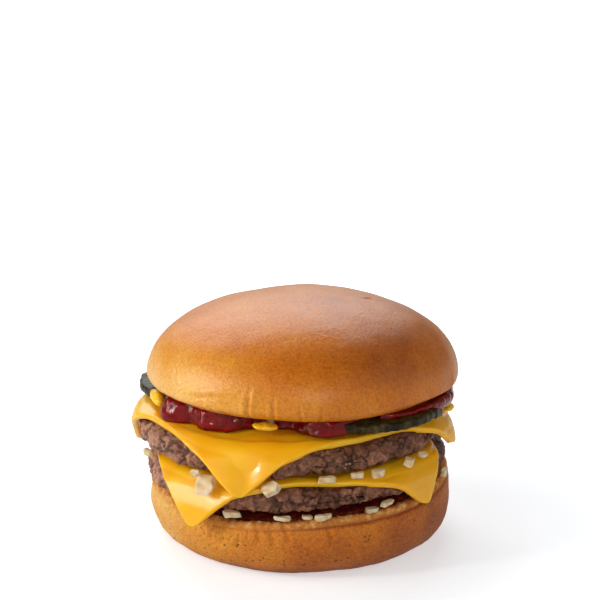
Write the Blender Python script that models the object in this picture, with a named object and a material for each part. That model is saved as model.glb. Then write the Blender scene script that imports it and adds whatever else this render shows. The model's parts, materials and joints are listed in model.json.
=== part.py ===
"""Double cheeseburger, built piece by piece from the heel of the bun to its crown.

Frame: metres, +Z up, the front at -Y. The origin is the middle of the flat spot that the heel rests on.
Sizes below are in millimetres, and make_solid turns them to metres once. A bearing is an angle seen from
above, in degrees: 0 at the front, 90 at the right, -90 at the left.
"""

import math

import bmesh
import bpy
import numpy as np
from mathutils import Euler, Matrix, Vector, noise

MM = 0.001

# Air between neighbouring pieces, the extra over a coarsely faceted bend, and the room cut into a sauce
GAP = 0.35
BEND_SPARE = 0.4
ROOM = 0.5

# Heel, the lower half of the bun: its cut rim is lowest at the front left
HEEL_RADIUS = 47.5
HEEL_REST_RADIUS = 36.2
HEEL_BELLY = 12.5
HEEL_RIM = 19.6
HEEL_RIM_RIGHT = 2.3
HEEL_RIM_BACK = 1.6
HEEL_CUT_RADIUS = 41.0

# Crown, the upper half of the bun, which leans back a little
CROWN_CENTRE = (0.9, 0.0)
CROWN_RADIUS = 48.4
CROWN_BELLY = 52.8
CROWN_DOME = 25.2
CROWN_FULLNESS = 2.06
CROWN_CUT_RADIUS = 43.4
CROWN_CUT_DEPTH = 3.9
CROWN_HOLLOW = 0.6
CROWN_HOLLOW_RADIUS = 39.0
CROWN_LEAN = math.tan(math.radians(1.6))

# Patties: centre, radius, the planes of the underside and the top as height, rise to the right and rise to
# the back, and the dip in the top's rim: bearing and depth
PATTIES = {
    "patty_lower": dict(
        centre=(-0.9, 0.0),
        radius=46.8,
        under=(21.8, 0.045, 0.0),
        over=(30.0, 0.026, 0.0),
        dip=(14.0, 1.5),
    ),
    "patty_upper": dict(
        centre=(-3.1, 0.0),
        radius=47.2,
        under=(33.3, 0.022, 0.006),
        over=(42.0, 0.03, 0.02),
        dip=(24.0, 1.4),
    ),
}
PATTY_DIP_WIDTH = 14.0
PATTY_TOP_ROUND = 4.0
PATTY_FOOT_ROUND = 3.0
PATTY_ROUGHNESS = 0.8

# Cheese: a square slice lies on each patty and its corners fold down over the edge. The folds run from the
# corner at the heading to the right: where a fold starts, how round it is, and how steep it ends, in degrees.
# The valley runs down the middle of the first corner.
SLICE_THICK = 2.0
CHEESES = {
    "cheese_lower": dict(
        on="patty_lower",
        side=84.4,
        centre=(-2.6, -2.7),
        heading=-37.5,
        folds=((40.3, 5.8, 73.0), (42.5, 7.2, 76.0), (43.5, 7.0, 66.0), (43.5, 6.5, 72.0)),
        valley=0.0,
    ),
    "cheese_upper": dict(
        on="patty_upper",
        side=85.4,
        centre=(-4.4, -1.6),
        heading=-16.0,
        folds=((41.4, 6.0, 72.5), (45.4, 6.5, 73.0), (43.5, 7.0, 64.0), (38.2, 9.0, 82.0)),
        valley=1.1,
    ),
}
SLICE_DROOP_START = 4.5
SLICE_DROOP_ROUND = 6.0
SLICE_DROOP_STEEPEST = 25.0
SLICE_DROOP_SIDES = 1.3

# Pickles: bearing and distance of the centre, radius, thickness, and how far the outer edge sags
PICKLES = {
    "pickle_left": dict(bearing=-112.0, distance=31.9, radius=21.5, thick=3.0, sag=0.0),
    "pickle_right": dict(bearing=50.0, distance=27.0, radius=22.8, thick=3.0, sag=2.2),
}
PICKLE_LIFT = 0.65
PICKLE_SAG_START = 39.5
PICKLE_SAG_RUN = 4.0

# Ketchup: the radius of the layer, and its lobes: bearing, width and reach of each. The band over the right
# pickle has a section of its own, as the way in from its outer side and the way up, and it dives and hangs
# lower past the pickle.
KETCHUP_RADIUS = 41.0
KETCHUP_LOBES = (
    (-66.0, 10.0, 6.4),
    (-44.0, 8.0, 0.8),
    (-19.0, 13.0, -8.5),
    (-3.0, 8.0, -5.0),
    (9.0, 5.0, 1.6),
)
KETCHUP_EDGE = 1.6
KETCHUP_BAND = dict(first=34.0, last=108.0, inner=42.0, outer=48.6)
KETCHUP_BAND_SECTION = (
    (1.0, 0.0),
    (0.45, 0.0),
    (0.1, 0.15),
    (0.0, 0.5),
    (0.1, 0.85),
    (0.45, 1.0),
    (1.0, 1.0),
)
KETCHUP_BAND_DIVE = 76.0
KETCHUP_BAND_HANG = 0.4

# Mustard drops: bearing, distance, height, length, width, thickness
MUSTARD = {
    "mustard_left": (-77.0, 45.4, 47.4, 11.0, 3.6, 4.6),
    "mustard_front": (-16.0, 37.8, 46.3, 8.2, 4.2, 2.3),
    "mustard_right": (82.0, 47.0, 43.0, 5.2, 2.6, 2.0),
}

# Diced onion: bearing, distance and height of the middle, length, width, thickness, turn, tip and roll
ONIONS = (
    # between the patties, on the lower slice
    (-70.0, 49.8, 31.4, 3.4, 2.2, 1.8, 20.0, 10.0, 0.0),
    (-39.6, 49.2, 31.7, 3.6, 2.2, 2.0, 0.0, 40.0, 0.0),
    (-32.5, 52.5, 30.5, 6.0, 5.8, 2.2, 10.0, 76.0, 8.0),
    (-9.7, 51.0, 31.4, 5.6, 4.0, 3.0, 0.0, 34.0, -24.0),
    (9.6, 47.8, 33.2, 5.8, 2.6, 1.8, 0.0, 0.0, 0.0),
    (21.4, 47.0, 33.4, 4.2, 2.4, 1.6, 0.0, 0.0, 0.0),
    (29.4, 47.6, 33.2, 4.4, 2.8, 2.0, 12.0, 0.0, 0.0),
    (43.0, 48.0, 34.4, 3.6, 3.0, 2.4, 30.0, 10.0, 0.0),
    (51.0, 48.0, 35.2, 3.0, 2.6, 1.6, 0.0, 10.0, 0.0),
    # on the cut face of the heel
    (-25.6, 47.4, 20.7, 5.6, 2.8, 1.8, 12.0, 0.0, 0.0),
    (-6.3, 46.8, 20.7, 6.0, 2.6, 1.3, 0.0, 0.0, 0.0),
    (2.6, 45.2, 20.6, 3.4, 2.4, 1.0, -8.0, 0.0, 0.0),
    (8.7, 46.9, 21.1, 5.6, 2.6, 1.5, 14.0, 0.0, 0.0),
    (28.4, 45.6, 21.2, 4.7, 2.6, 1.5, 0.0, 0.0, 0.0),
    (34.0, 46.9, 22.7, 4.2, 2.6, 1.8, 16.0, 0.0, 0.0),
    (72.5, 47.0, 24.0, 3.4, 2.0, 2.4, 0.0, 0.0, 0.0),
)
ONION_SKEW = 0.6

# How finely each kind of piece is faceted
BUN_SEGMENTS = 54
PATTY_SEGMENTS = 60
SLICE_CELLS = 18
SLICE_FLAT = 24.0
PICKLE_SEGMENTS = 28
SAUCE_SEGMENTS = 54
BAND_SEGMENTS = 14


# ---------------------------------------------------------------- tools


def clear_scene():
    for old in list(bpy.data.objects):
        bpy.data.objects.remove(old)


def finish(name, colour, roughness, coat=0.0):
    """Principled material from a colour given as red, green and blue from 0 to 1."""
    material = bpy.data.materials.new(name)
    material.use_nodes = True
    shader = material.node_tree.nodes["Principled BSDF"]
    shader.inputs["Base Color"].default_value = (*colour, 1.0)
    shader.inputs["Roughness"].default_value = roughness
    shader.inputs["Metallic"].default_value = 0.0
    shader.inputs["Coat Weight"].default_value = coat
    return material


def spot(bearing, distance, height=0.0):
    """Point at a bearing and a distance from the burger's axis."""
    turn = math.radians(bearing)
    return Vector((distance * math.sin(turn), -distance * math.cos(turn), height))


def hill(bearing, middle, width):
    """Smooth hill of height 1 around a bearing, or around a distance in millimetres."""
    away = (bearing - middle + 180.0) % 360.0 - 180.0
    return math.exp(-((away / width) ** 2))


def lump(x, y, z, size):
    """Seeded unevenness from -1 to 1 whose lumps are about size across."""
    return noise.noise(Vector((x, y, z)) / size)


def bearings(count):
    return [360.0 * step / count for step in range(count)]


def make_solid(name, points, faces, material):
    """Closed solid with its faces pointing out, from points in millimetres."""
    mesh = bpy.data.meshes.new(name)
    mesh.from_pydata([Vector(point) * MM for point in points], [], faces)
    shape = bmesh.new()
    shape.from_mesh(mesh)
    bmesh.ops.recalc_face_normals(shape, faces=shape.faces)
    shape.to_mesh(mesh)
    shape.free()
    mesh.materials.append(material)
    mesh.shade_smooth()
    solid = bpy.data.objects.new(name, mesh)
    bpy.context.scene.collection.objects.link(solid)
    return solid


def stacked_rings(rings, foot=None, top=None):
    """Points and faces of rings stacked from the bottom up, closed with a fan to a point or a flat face."""
    count = len(rings[0])
    points = [point for ring in rings for point in ring]
    faces = []
    for level in range(len(rings) - 1):
        low = level * count
        for step in range(count):
            after = (step + 1) % count
            faces.append((low + step, low + after, low + count + after, low + count + step))
    ends = ((foot, list(range(count))), (top, list(range(len(points) - count, len(points)))))
    for pole, ring in ends:
        if pole is None:
            faces.append(tuple(ring))
            continue
        points.append(pole)
        faces.extend((len(points) - 1, ring[step], ring[(step + 1) % count]) for step in range(count))
    return points, faces


# ---------------------------------------------------------------- bun


def quarter_round(start, end, steps):
    """Points of a quarter ellipse that leaves start level and reaches end upright."""
    points = []
    for step in range(steps + 1):
        turn = 0.5 * math.pi * step / steps
        radius = start[0] + (end[0] - start[0]) * math.sin(turn)
        height = start[1] + (end[1] - start[1]) * (1.0 - math.cos(turn))
        points.append((radius, height))
    return points


def heel_rim(bearing):
    turn = math.radians(bearing)
    level = HEEL_RIM + HEEL_RIM_RIGHT * math.sin(turn) - HEEL_RIM_BACK * math.cos(turn)
    return level + 1.4 * hill(bearing, -66.0, 20.0) + 0.35 * math.sin(math.radians(5.0 * bearing + 40.0))


def build_heel(crust):
    patty = PATTIES["patty_lower"]
    foot = (HEEL_REST_RADIUS, 0.0)
    columns = []
    for bearing in bearings(BUN_SEGMENTS):
        rim = heel_rim(bearing)
        wall = HEEL_RADIUS + 0.3 * math.sin(math.radians(2.0 * bearing + 30.0))
        outline = quarter_round(foot, (wall, HEEL_BELLY), 4)
        outline += [(wall - 0.2, rim - 2.4), (wall - 0.9, rim - 0.7), (wall - 2.0, rim)]
        outline += [(wall - 4.2, rim + 0.3), (HEEL_CUT_RADIUS, 2.0 * HEEL_RIM)]
        column = [spot(bearing, radius, height) for radius, height in outline]
        for point in column:
            point.z = min(point.z, plane_height(patty["under"], point.x, point.y) - GAP)
        columns.append(column)
    rings = [list(ring) for ring in zip(*columns)]
    points, faces = stacked_rings(rings, None, Vector((0.0, 0.0, patty["under"][0] - GAP)))
    return make_solid("bun_heel", points, faces, crust)


def crown_underside(radius, y):
    """Height of the crown's cut face and its rounded edge at a radius from the crown's own axis."""
    past = min(max((radius - CROWN_CUT_RADIUS) / (CROWN_RADIUS - CROWN_CUT_RADIUS), 0.0), 1.0)
    inside = min(max((CROWN_CUT_RADIUS - radius) / (CROWN_CUT_RADIUS - CROWN_HOLLOW_RADIUS), 0.0), 1.0)
    rise = CROWN_CUT_DEPTH * (1.0 - math.sqrt(1.0 - past * past)) + CROWN_HOLLOW * inside
    return CROWN_BELLY - CROWN_CUT_DEPTH + rise - CROWN_LEAN * y


def build_crown(crust):
    start = (CROWN_CUT_RADIUS, CROWN_BELLY - CROWN_CUT_DEPTH)
    outline = [(CROWN_HOLLOW_RADIUS, start[1] + CROWN_HOLLOW)]
    outline += quarter_round(start, (CROWN_RADIUS, CROWN_BELLY), 3)
    power = 2.0 / CROWN_FULLNESS
    for turn in (11.0, 22.0, 33.0, 44.0, 55.0, 66.0, 77.0):
        across = math.cos(math.radians(turn)) ** power
        up = math.sin(math.radians(turn)) ** power
        outline.append((CROWN_RADIUS * across, CROWN_BELLY + CROWN_DOME * up))
    centre = Vector((*CROWN_CENTRE, 0.0))
    rings = []
    for radius, height in outline:
        ring = []
        for bearing in bearings(BUN_SEGMENTS):
            side = radius * (1.0 + 0.004 * math.sin(math.radians(2.0 * bearing - 50.0)))
            point = centre + spot(bearing, side, height)
            below = max(0.0, (CROWN_BELLY - height) / CROWN_CUT_DEPTH)
            if radius > CROWN_CUT_RADIUS:
                point.z += below * (1.5 * hill(bearing, -44.0, 26.0) + 1.2 * hill(bearing, 56.0, 18.0))
            point.z -= CROWN_LEAN * point.y
            ring.append(point)
        rings.append(ring)
    foot = centre + Vector((0.0, 0.0, start[1] + CROWN_HOLLOW))
    top = centre + Vector((0.0, 0.0, CROWN_BELLY + CROWN_DOME))
    points, faces = stacked_rings(rings, foot, top)
    return make_solid("bun_crown", points, faces, crust)


# ---------------------------------------------------------------- patties


def plane_height(plane, x, y):
    height, to_right, to_back = plane
    return height + to_right * x + to_back * y


def patty_top(patty, x, y):
    """Height of a patty's top, with the dip that its rim has on one side."""
    bearing, depth = patty["dip"]
    outward = math.hypot(x, y) / patty["radius"]
    dip = depth * outward**4 * hill(math.degrees(math.atan2(x, -y)), bearing, PATTY_DIP_WIDTH)
    return plane_height(patty["over"], x, y) - dip


def build_patty(name, meat):
    patty = PATTIES[name]
    centre = Vector((*patty["centre"], 0.0))
    radius = patty["radius"]
    foot = quarter_round((radius - PATTY_FOOT_ROUND, 0.0), (radius, PATTY_FOOT_ROUND), 2)
    shoulder = quarter_round((radius - PATTY_TOP_ROUND, 0.0), (radius, -PATTY_TOP_ROUND), 3)
    outline = [(False, *point) for point in foot]
    outline += [(True, *point) for point in (*reversed(shoulder), (0.7 * radius, 0.0))]
    rings = []
    for on_top, distance, height in outline:
        ring = []
        for bearing in bearings(PATTY_SEGMENTS):
            point = centre + spot(bearing, distance)
            outward = max(0.0, (distance - radius + PATTY_TOP_ROUND) / PATTY_TOP_ROUND)
            rough = 0.5 + 0.5 * lump(point.x, point.y, patty["under"][0] + 0.6 * height, 7.0)
            point = centre + spot(bearing, distance - PATTY_ROUGHNESS * outward * rough)
            under = plane_height(patty["under"], point.x, point.y)
            point.z = height + (patty_top(patty, point.x, point.y) if on_top else under)
            ring.append(point)
        rings.append(ring)
    foot = centre + Vector((0.0, 0.0, plane_height(patty["under"], *patty["centre"])))
    top = centre + Vector((0.0, 0.0, plane_height(patty["over"], *patty["centre"])))
    points, faces = stacked_rings(rings, foot, top)
    return make_solid(name, points, faces, meat)


# ---------------------------------------------------------------- cheese


def bend(distance, start, radius, steepest):
    """Level run and drop of a sheet at a distance along it: flat, then round a bend, then straight."""
    past = distance - start
    if past <= 0.0:
        return distance, 0.0
    turn = min(past / radius, steepest)
    rest = past - turn * radius
    run = start + radius * math.sin(turn) + rest * math.cos(turn)
    drop = radius * (1.0 - math.cos(turn)) + rest * math.sin(turn)
    return run, drop


def droop(past):
    """Drop of a slice's edge at a level distance past the place where it starts to hang."""
    steepest = math.radians(SLICE_DROOP_STEEPEST)
    level = min(max(past, 0.0), SLICE_DROOP_ROUND * math.sin(steepest))
    drop = SLICE_DROOP_ROUND - math.sqrt(SLICE_DROOP_ROUND**2 - level**2)
    return drop + (max(past, 0.0) - level) * math.tan(steepest)


def keep_off(point, patty, reach):
    """Move a point straight away from a patty's rounded shoulder until it is reach away."""
    out = Vector((point.x - patty["centre"][0], point.y - patty["centre"][1], 0.0))
    core = patty["radius"] - PATTY_TOP_ROUND
    shoulder = patty_top(patty, point.x, point.y) - PATTY_TOP_ROUND
    nearest = out * min(1.0, core / max(out.length, 1e-6))
    nearest.z = min(shoulder, point.z)
    out.z = point.z
    away = out - nearest
    if away.length < 1e-6 or away.length >= PATTY_TOP_ROUND + reach:
        return point
    away.length = PATTY_TOP_ROUND + reach
    return nearest + away + Vector((*patty["centre"], 0.0))


def slice_middle(cheese, across, along):
    """Point of a draped slice's middle surface, from its two diagonal coordinates on the flat slice."""
    patty = PATTIES[cheese["on"]]
    sides = ((along, 0 if along >= 0.0 else 2, 0.0), (across, 1 if across >= 0.0 else 3, 90.0))
    point = Vector((*cheese["centre"], 0.0))
    drop = 0.0
    for distance, corner, turn in sides:
        start, radius, steepest = cheese["folds"][corner]
        run, fall = bend(abs(distance), start, radius, math.radians(steepest))
        point += spot(cheese["heading"] + turn, math.copysign(run, distance))
        drop += fall
    start, radius, _ = cheese["folds"][0]
    ramp = min(max((along - start) / radius, 0.0), 1.0)
    point -= spot(cheese["heading"], cheese["valley"] * ramp * hill(across, 2.0, 4.0))
    out = math.hypot(point.x - patty["centre"][0], point.y - patty["centre"][1])
    side = hill(abs(math.degrees(math.atan2(point.x, -point.y))), 95.0, 22.0)
    hang = droop(out - patty["radius"] + SLICE_DROOP_START) * (1.0 + SLICE_DROOP_SIDES * side)
    flat = patty_top(patty, point.x, point.y) + GAP + 0.5 * SLICE_THICK
    point.z = flat - (drop**3 + hang**3) ** (1.0 / 3.0)
    past_core = out - patty["radius"] + PATTY_TOP_ROUND
    spare = BEND_SPARE * min(max(0.6 + past_core / 3.0, 0.0), 1.0)
    return keep_off(point, patty, GAP + spare + 0.5 * SLICE_THICK)


def build_cheese(name, dairy):
    cheese = CHEESES[name]
    half = 0.5 * cheese["side"]
    outer = np.linspace(SLICE_FLAT, half, SLICE_CELLS // 2 - 2)
    ticks = np.array([*-outer[::-1], -SLICE_FLAT / 3.0 * 2.0, -SLICE_FLAT / 3.0, 0.0])
    ticks = np.array([*ticks, *-ticks[-2::-1]])
    half_turn = math.sqrt(0.5)
    middle = [[slice_middle(cheese, half_turn * (u - v), half_turn * (u + v)) for v in ticks] for u in ticks]
    middle = np.array(middle)
    normal = np.cross(np.gradient(middle, axis=0), np.gradient(middle, axis=1))
    normal /= np.linalg.norm(normal, axis=2, keepdims=True)
    offset = 0.5 * SLICE_THICK * normal
    size = SLICE_CELLS + 1
    points = [*(middle + offset).reshape(-1, 3), *(middle - offset).reshape(-1, 3)]
    other = size * size
    faces = []
    for row in range(SLICE_CELLS):
        for column in range(SLICE_CELLS):
            a = row * size + column
            b, c, d = a + size, a + size + 1, a + 1
            along = abs(row + column + 1 - SLICE_CELLS)
            halves = ((a, b, d), (b, c, d)) if along > abs(row - column) else ((a, b, c), (a, c, d))
            faces += halves
            faces += [tuple(other + corner for corner in reversed(half)) for half in halves]
    border = list(range(SLICE_CELLS))
    border += [row * size + SLICE_CELLS for row in range(SLICE_CELLS)]
    border += [SLICE_CELLS * size + SLICE_CELLS - column for column in range(SLICE_CELLS)]
    border += [(SLICE_CELLS - row) * size for row in range(SLICE_CELLS)]
    for step, a in enumerate(border):
        b = border[(step + 1) % len(border)]
        faces.append((a, b, other + b, other + a))
    return make_solid(name, points, faces, dairy)


def cheese_top(x, y):
    """Height of the upper slice's top where it lies flat."""
    return plane_height(PATTIES["patty_upper"]["over"], x, y) + GAP + SLICE_THICK


# ---------------------------------------------------------------- pickles and sauces


def pickle_shape(pickle, grow=0.0):
    """Points and faces of a pickle slice whose outer edge sags past the cheese; grow makes it larger."""
    centre = spot(pickle["bearing"], pickle["distance"])
    low = -grow
    high = pickle["thick"] + grow
    edge = pickle["radius"] + grow
    round_off = 0.8
    inner = 0.8 * edge
    outline = [(inner, low), (edge - round_off, low), (edge, low + round_off)]
    outline += [(edge, high - round_off), (edge - round_off, high), (inner, high)]

    def place(x, y, height):
        past = max(0.0, abs(x) - PICKLE_SAG_START) / PICKLE_SAG_RUN
        return Vector((x, y, cheese_top(x, y) + PICKLE_LIFT - pickle["sag"] * past * past + height))

    rings = []
    for radius, height in outline:
        flat = [centre + spot(bearing, radius) for bearing in bearings(PICKLE_SEGMENTS)]
        rings.append([place(point.x, point.y, height) for point in flat])
    return stacked_rings(rings, place(centre.x, centre.y, low), place(centre.x, centre.y, high))


def build_pickle(name, skin):
    points, faces = pickle_shape(PICKLES[name])
    return make_solid(name, points, faces, skin)


def hide_as_cutter(cutter):
    cutter.hide_render = True
    cutter.display_type = "WIRE"
    return cutter


def cut_away(solid, cutter):
    cut = solid.modifiers.new("cut_" + cutter.name, "BOOLEAN")
    cut.operation = "DIFFERENCE"
    cut.solver = "EXACT"
    cut.object = cutter


def build_ketchup(sauce):
    """Ketchup layer between the upper slice and the crown, with room for the pickles and the mustard."""
    rings = []
    for inward, share in ((1.2, 0.0), (0.0, 0.35), (0.2, 0.75), (1.4, 1.0), (16.0, 1.0)):
        ring = []
        for bearing in bearings(SAUCE_SEGMENTS):
            reach = sum(size * hill(bearing, middle, width) for middle, width, size in KETCHUP_LOBES)
            radius = KETCHUP_RADIUS + reach + 0.7 * math.sin(math.radians(7.0 * bearing))
            point = spot(bearing, radius - KETCHUP_EDGE * inward)
            bottom = cheese_top(point.x, point.y) + BEND_SPARE + GAP
            own = math.hypot(point.x - CROWN_CENTRE[0], point.y - CROWN_CENTRE[1])
            top = crown_underside(max(own, CROWN_CUT_RADIUS), point.y) - GAP
            point.z = bottom + (top - bottom) * share
            ring.append(point)
        rings.append(ring)
    foot = Vector((0.0, 0.0, cheese_top(0.0, 0.0) + BEND_SPARE + GAP))
    top = Vector((0.0, 0.0, crown_underside(CROWN_CUT_RADIUS, 0.0) - GAP))
    points, faces = stacked_rings(rings, foot, top)
    return make_solid("ketchup", points, faces, sauce)


def build_ketchup_band(sauce):
    """Ketchup squeezed out over the right pickle's edge, as sections swept along the crown's rim."""
    band = KETCHUP_BAND
    over_pickle = PICKLES["pickle_right"]["thick"] - 1.0
    rings = []
    for step in range(BAND_SEGMENTS + 1):
        share = step / BAND_SEGMENTS
        bearing = band["first"] + (band["last"] - band["first"]) * share
        fade = math.sin(math.pi * min(max(share, 0.06), 0.94)) ** 0.5
        outer = band["inner"] + (band["outer"] - band["inner"]) * fade
        section = []
        for inward, high in KETCHUP_BAND_SECTION:
            point = spot(bearing, outer + (band["inner"] - outer) * inward)
            lift = min(max((KETCHUP_BAND_DIVE - bearing) / 22.0, 0.0), 1.0)
            hang = KETCHUP_BAND_HANG * max(0.0, outer - band["inner"]) * (1.0 - inward) * (1.0 - lift)
            bottom = cheese_top(point.x, point.y) + BEND_SPARE + GAP + over_pickle * lift - hang
            own = math.hypot(point.x - CROWN_CENTRE[0], point.y - CROWN_CENTRE[1])
            top = crown_underside(own, point.y) - GAP
            point.z = bottom + (top - bottom) * high
            section.append(point)
        rings.append(section)
    points, faces = stacked_rings(rings)
    return make_solid("ketchup_right", points, faces, sauce)


def build_drop(name, size, place, sauce, grow=0.0):
    """Uneven drop of sauce, an egg shape that lies along the rim."""
    bearing, distance, height = place
    shape = bmesh.new()
    bmesh.ops.create_icosphere(shape, subdivisions=2, radius=0.5)
    turn = Matrix.Rotation(math.radians(bearing), 4, "Z")
    middle = spot(bearing, distance, height)
    points = []
    for vertex in shape.verts:
        swell = 1.0 + 0.12 * lump(*(vertex.co * 4.0), 2.0)
        stretched = Vector([(length + 2.0 * grow) * part * swell for length, part in zip(size, vertex.co)])
        points.append(middle + turn @ stretched)
    faces = [tuple(vertex.index for vertex in face.verts) for face in shape.faces]
    shape.free()
    return make_solid(name, points, faces, sauce)


# ---------------------------------------------------------------- onion


def build_onion(name, sizes, flesh, seed):
    """Chopped piece of onion: a skewed block with two corners cut off."""
    bearing, distance, height, length, width, thick, turn, tip, roll = sizes
    outline = ((-0.5, -0.2), (-0.3, -0.5), (0.38, -0.46), (0.5, 0.1), (0.3, 0.5), (-0.42, 0.42))
    spin = Euler((math.radians(tip), math.radians(roll), math.radians(bearing + turn))).to_matrix()
    middle = spot(bearing, distance, height)
    rings = []
    for level in (-0.5, 0.5):
        ring = []
        for corner, (x, y) in enumerate(outline):
            shift = ONION_SKEW * lump(corner + 9.7 * level, seed * 3.1, level, 1.7)
            tilt = 0.3 * lump(seed * 1.3, corner + 5.0 * level, 0.5, 1.3)
            shape = (length * (x + 0.25 * shift), width * (y - 0.2 * level * ONION_SKEW), thick * (level + tilt))
            ring.append(middle + spin @ Vector(shape))
        rings.append(ring)
    points, faces = stacked_rings(rings)
    return make_solid(name, points, faces, flesh)


# ---------------------------------------------------------------- burger


def build_burger():
    crust = finish("bun_crust", (0.62, 0.30, 0.09), 0.5)
    meat = finish("griddled_beef", (0.11, 0.05, 0.035), 0.6)
    dairy = finish("sliced_cheese", (0.86, 0.47, 0.03), 0.3)
    skin = finish("pickled_cucumber", (0.07, 0.08, 0.015), 0.35)
    tomato = finish("ketchup", (0.28, 0.01, 0.006), 0.15, coat=0.6)
    seed = finish("mustard", (0.82, 0.52, 0.02), 0.25)
    flesh = finish("onion_flesh", (0.72, 0.62, 0.42), 0.3)

    build_heel(crust)
    build_crown(crust)
    for name in PATTIES:
        build_patty(name, meat)
    for name in CHEESES:
        build_cheese(name, dairy)
    for name in PICKLES:
        build_pickle(name, skin)

    ketchup = build_ketchup(tomato)
    band = build_ketchup_band(tomato)
    rooms = {}
    for name, pickle in PICKLES.items():
        rooms[name] = hide_as_cutter(make_solid("room_for_" + name, *pickle_shape(pickle, ROOM), skin))
    for name, (bearing, distance, height, *size) in MUSTARD.items():
        drop = build_drop(name, size, (bearing, distance, height), seed)
        room = build_drop("room_for_" + name, size, (bearing, distance, height), seed, ROOM)
        rooms[name] = hide_as_cutter(room)
        if name == "mustard_left":
            cut_away(drop, rooms["pickle_left"])
    for room in rooms.values():
        cut_away(ketchup, room)
    cut_away(band, rooms["pickle_right"])
    cut_away(band, rooms["mustard_right"])

    for number, sizes in enumerate(ONIONS, 1):
        build_onion(f"onion_{number:02d}", sizes, flesh, number)


clear_scene()
build_burger()
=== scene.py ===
"""Looks of a double cheeseburger, laid out as an add-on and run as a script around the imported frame.

Shapes are worked out in millimetres and turned to metres when a mesh is made. +Z is up and the front is at
-Y. A bearing is an angle seen from above, in degrees: 0 at the front, 90 at the right, -90 at the left.
"""

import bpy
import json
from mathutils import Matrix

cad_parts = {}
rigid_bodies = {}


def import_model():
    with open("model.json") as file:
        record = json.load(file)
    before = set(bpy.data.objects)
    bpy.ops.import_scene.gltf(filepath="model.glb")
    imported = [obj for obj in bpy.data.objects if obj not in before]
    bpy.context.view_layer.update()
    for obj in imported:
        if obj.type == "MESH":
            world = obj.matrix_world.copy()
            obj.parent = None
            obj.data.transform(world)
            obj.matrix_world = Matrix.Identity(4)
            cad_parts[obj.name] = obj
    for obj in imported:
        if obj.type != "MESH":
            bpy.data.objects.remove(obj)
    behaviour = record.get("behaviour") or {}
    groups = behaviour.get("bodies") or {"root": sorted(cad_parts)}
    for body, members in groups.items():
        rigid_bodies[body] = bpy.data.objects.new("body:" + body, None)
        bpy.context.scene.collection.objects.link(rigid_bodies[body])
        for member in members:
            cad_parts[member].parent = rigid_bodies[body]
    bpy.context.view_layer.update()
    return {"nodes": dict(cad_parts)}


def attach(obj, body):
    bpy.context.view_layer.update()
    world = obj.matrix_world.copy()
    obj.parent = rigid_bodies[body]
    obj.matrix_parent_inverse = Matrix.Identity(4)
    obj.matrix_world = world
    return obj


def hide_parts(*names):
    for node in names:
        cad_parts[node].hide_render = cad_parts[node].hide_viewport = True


bl_info = {
    "name": "Double Cheeseburger",
    "version": (1, 0, 0),
    "blender": (4, 5, 0),
    "location": "3D View > Sidebar > Burger",
    "description": "Bun, patties, cheese, pickles, sauces and onion of a double cheeseburger",
    "category": "Add Mesh",
}

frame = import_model()

import json
import math

import bmesh
import bpy
import numpy as np
from bpy.props import FloatProperty, FloatVectorProperty, PointerProperty
from mathutils import Matrix, Vector, noise

MM = 0.001
BODY = "root"

# Heel, the lower half of the bun
HEEL_RADIUS = 47.5
HEEL_REST_RADIUS = 36.2
HEEL_BELLY = 12.5
HEEL_RIM = 19.6
HEEL_RIM_RIGHT = 2.3
HEEL_RIM_BACK = 1.6
HEEL_CUT_RADIUS = 41.0

# Crown, the upper half of the bun, which leans back a little
CROWN_CENTRE = (0.9, 0.0)
CROWN_RADIUS = 48.4
CROWN_BELLY = 52.8
CROWN_DOME = 25.2
CROWN_FULLNESS = 2.06
CROWN_CUT_RADIUS = 43.4
CROWN_CUT_DEPTH = 3.9
CROWN_HOLLOW = 0.6
CROWN_HOLLOW_RADIUS = 39.0
CROWN_LEAN = math.tan(math.radians(1.6))

# Creases pinched into the crown near its edge: bearing, lowest and highest point, width, depth, and how far
# the crease turns to the right on its way up, in degrees
CROWN_CREASES = (
    (-20.4, 50.5, 61.5, 0.6, 0.42, 1.2),
    (-10.8, 50.5, 59.5, 0.55, 0.34, 0.8),
    (-50.0, 54.5, 64.0, 0.5, 0.3, -9.0),
    (-0.6, 50.0, 57.5, 0.5, 0.26, -0.8),
    (6.2, 50.0, 56.0, 0.5, 0.36, 0.4),
    (-34.0, 50.0, 55.5, 0.5, 0.3, -2.0),
    (43.0, 52.0, 58.5, 0.55, 0.2, 1.5),
    (54.0, 51.0, 59.0, 0.6, 0.24, -1.5),
    (70.0, 50.0, 58.0, 0.6, 0.24, 1.0),
)

# Patties: centre, radius, the planes of the underside and the top as height, rise to the right and rise to
# the back, and the dip in the top's rim: bearing and depth
PATTIES = {
    "patty_lower": dict(
        centre=(-0.9, 0.0),
        radius=46.8,
        under=(21.8, 0.045, 0.0),
        over=(30.0, 0.026, 0.0),
        dip=(14.0, 1.5),
    ),
    "patty_upper": dict(
        centre=(-3.1, 0.0),
        radius=47.2,
        under=(33.3, 0.022, 0.006),
        over=(42.0, 0.03, 0.02),
        dip=(24.0, 1.4),
    ),
}
PATTY_DIP_WIDTH = 14.0
PATTY_TOP_ROUND = 4.0
PATTY_FOOT_ROUND = 3.0

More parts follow.
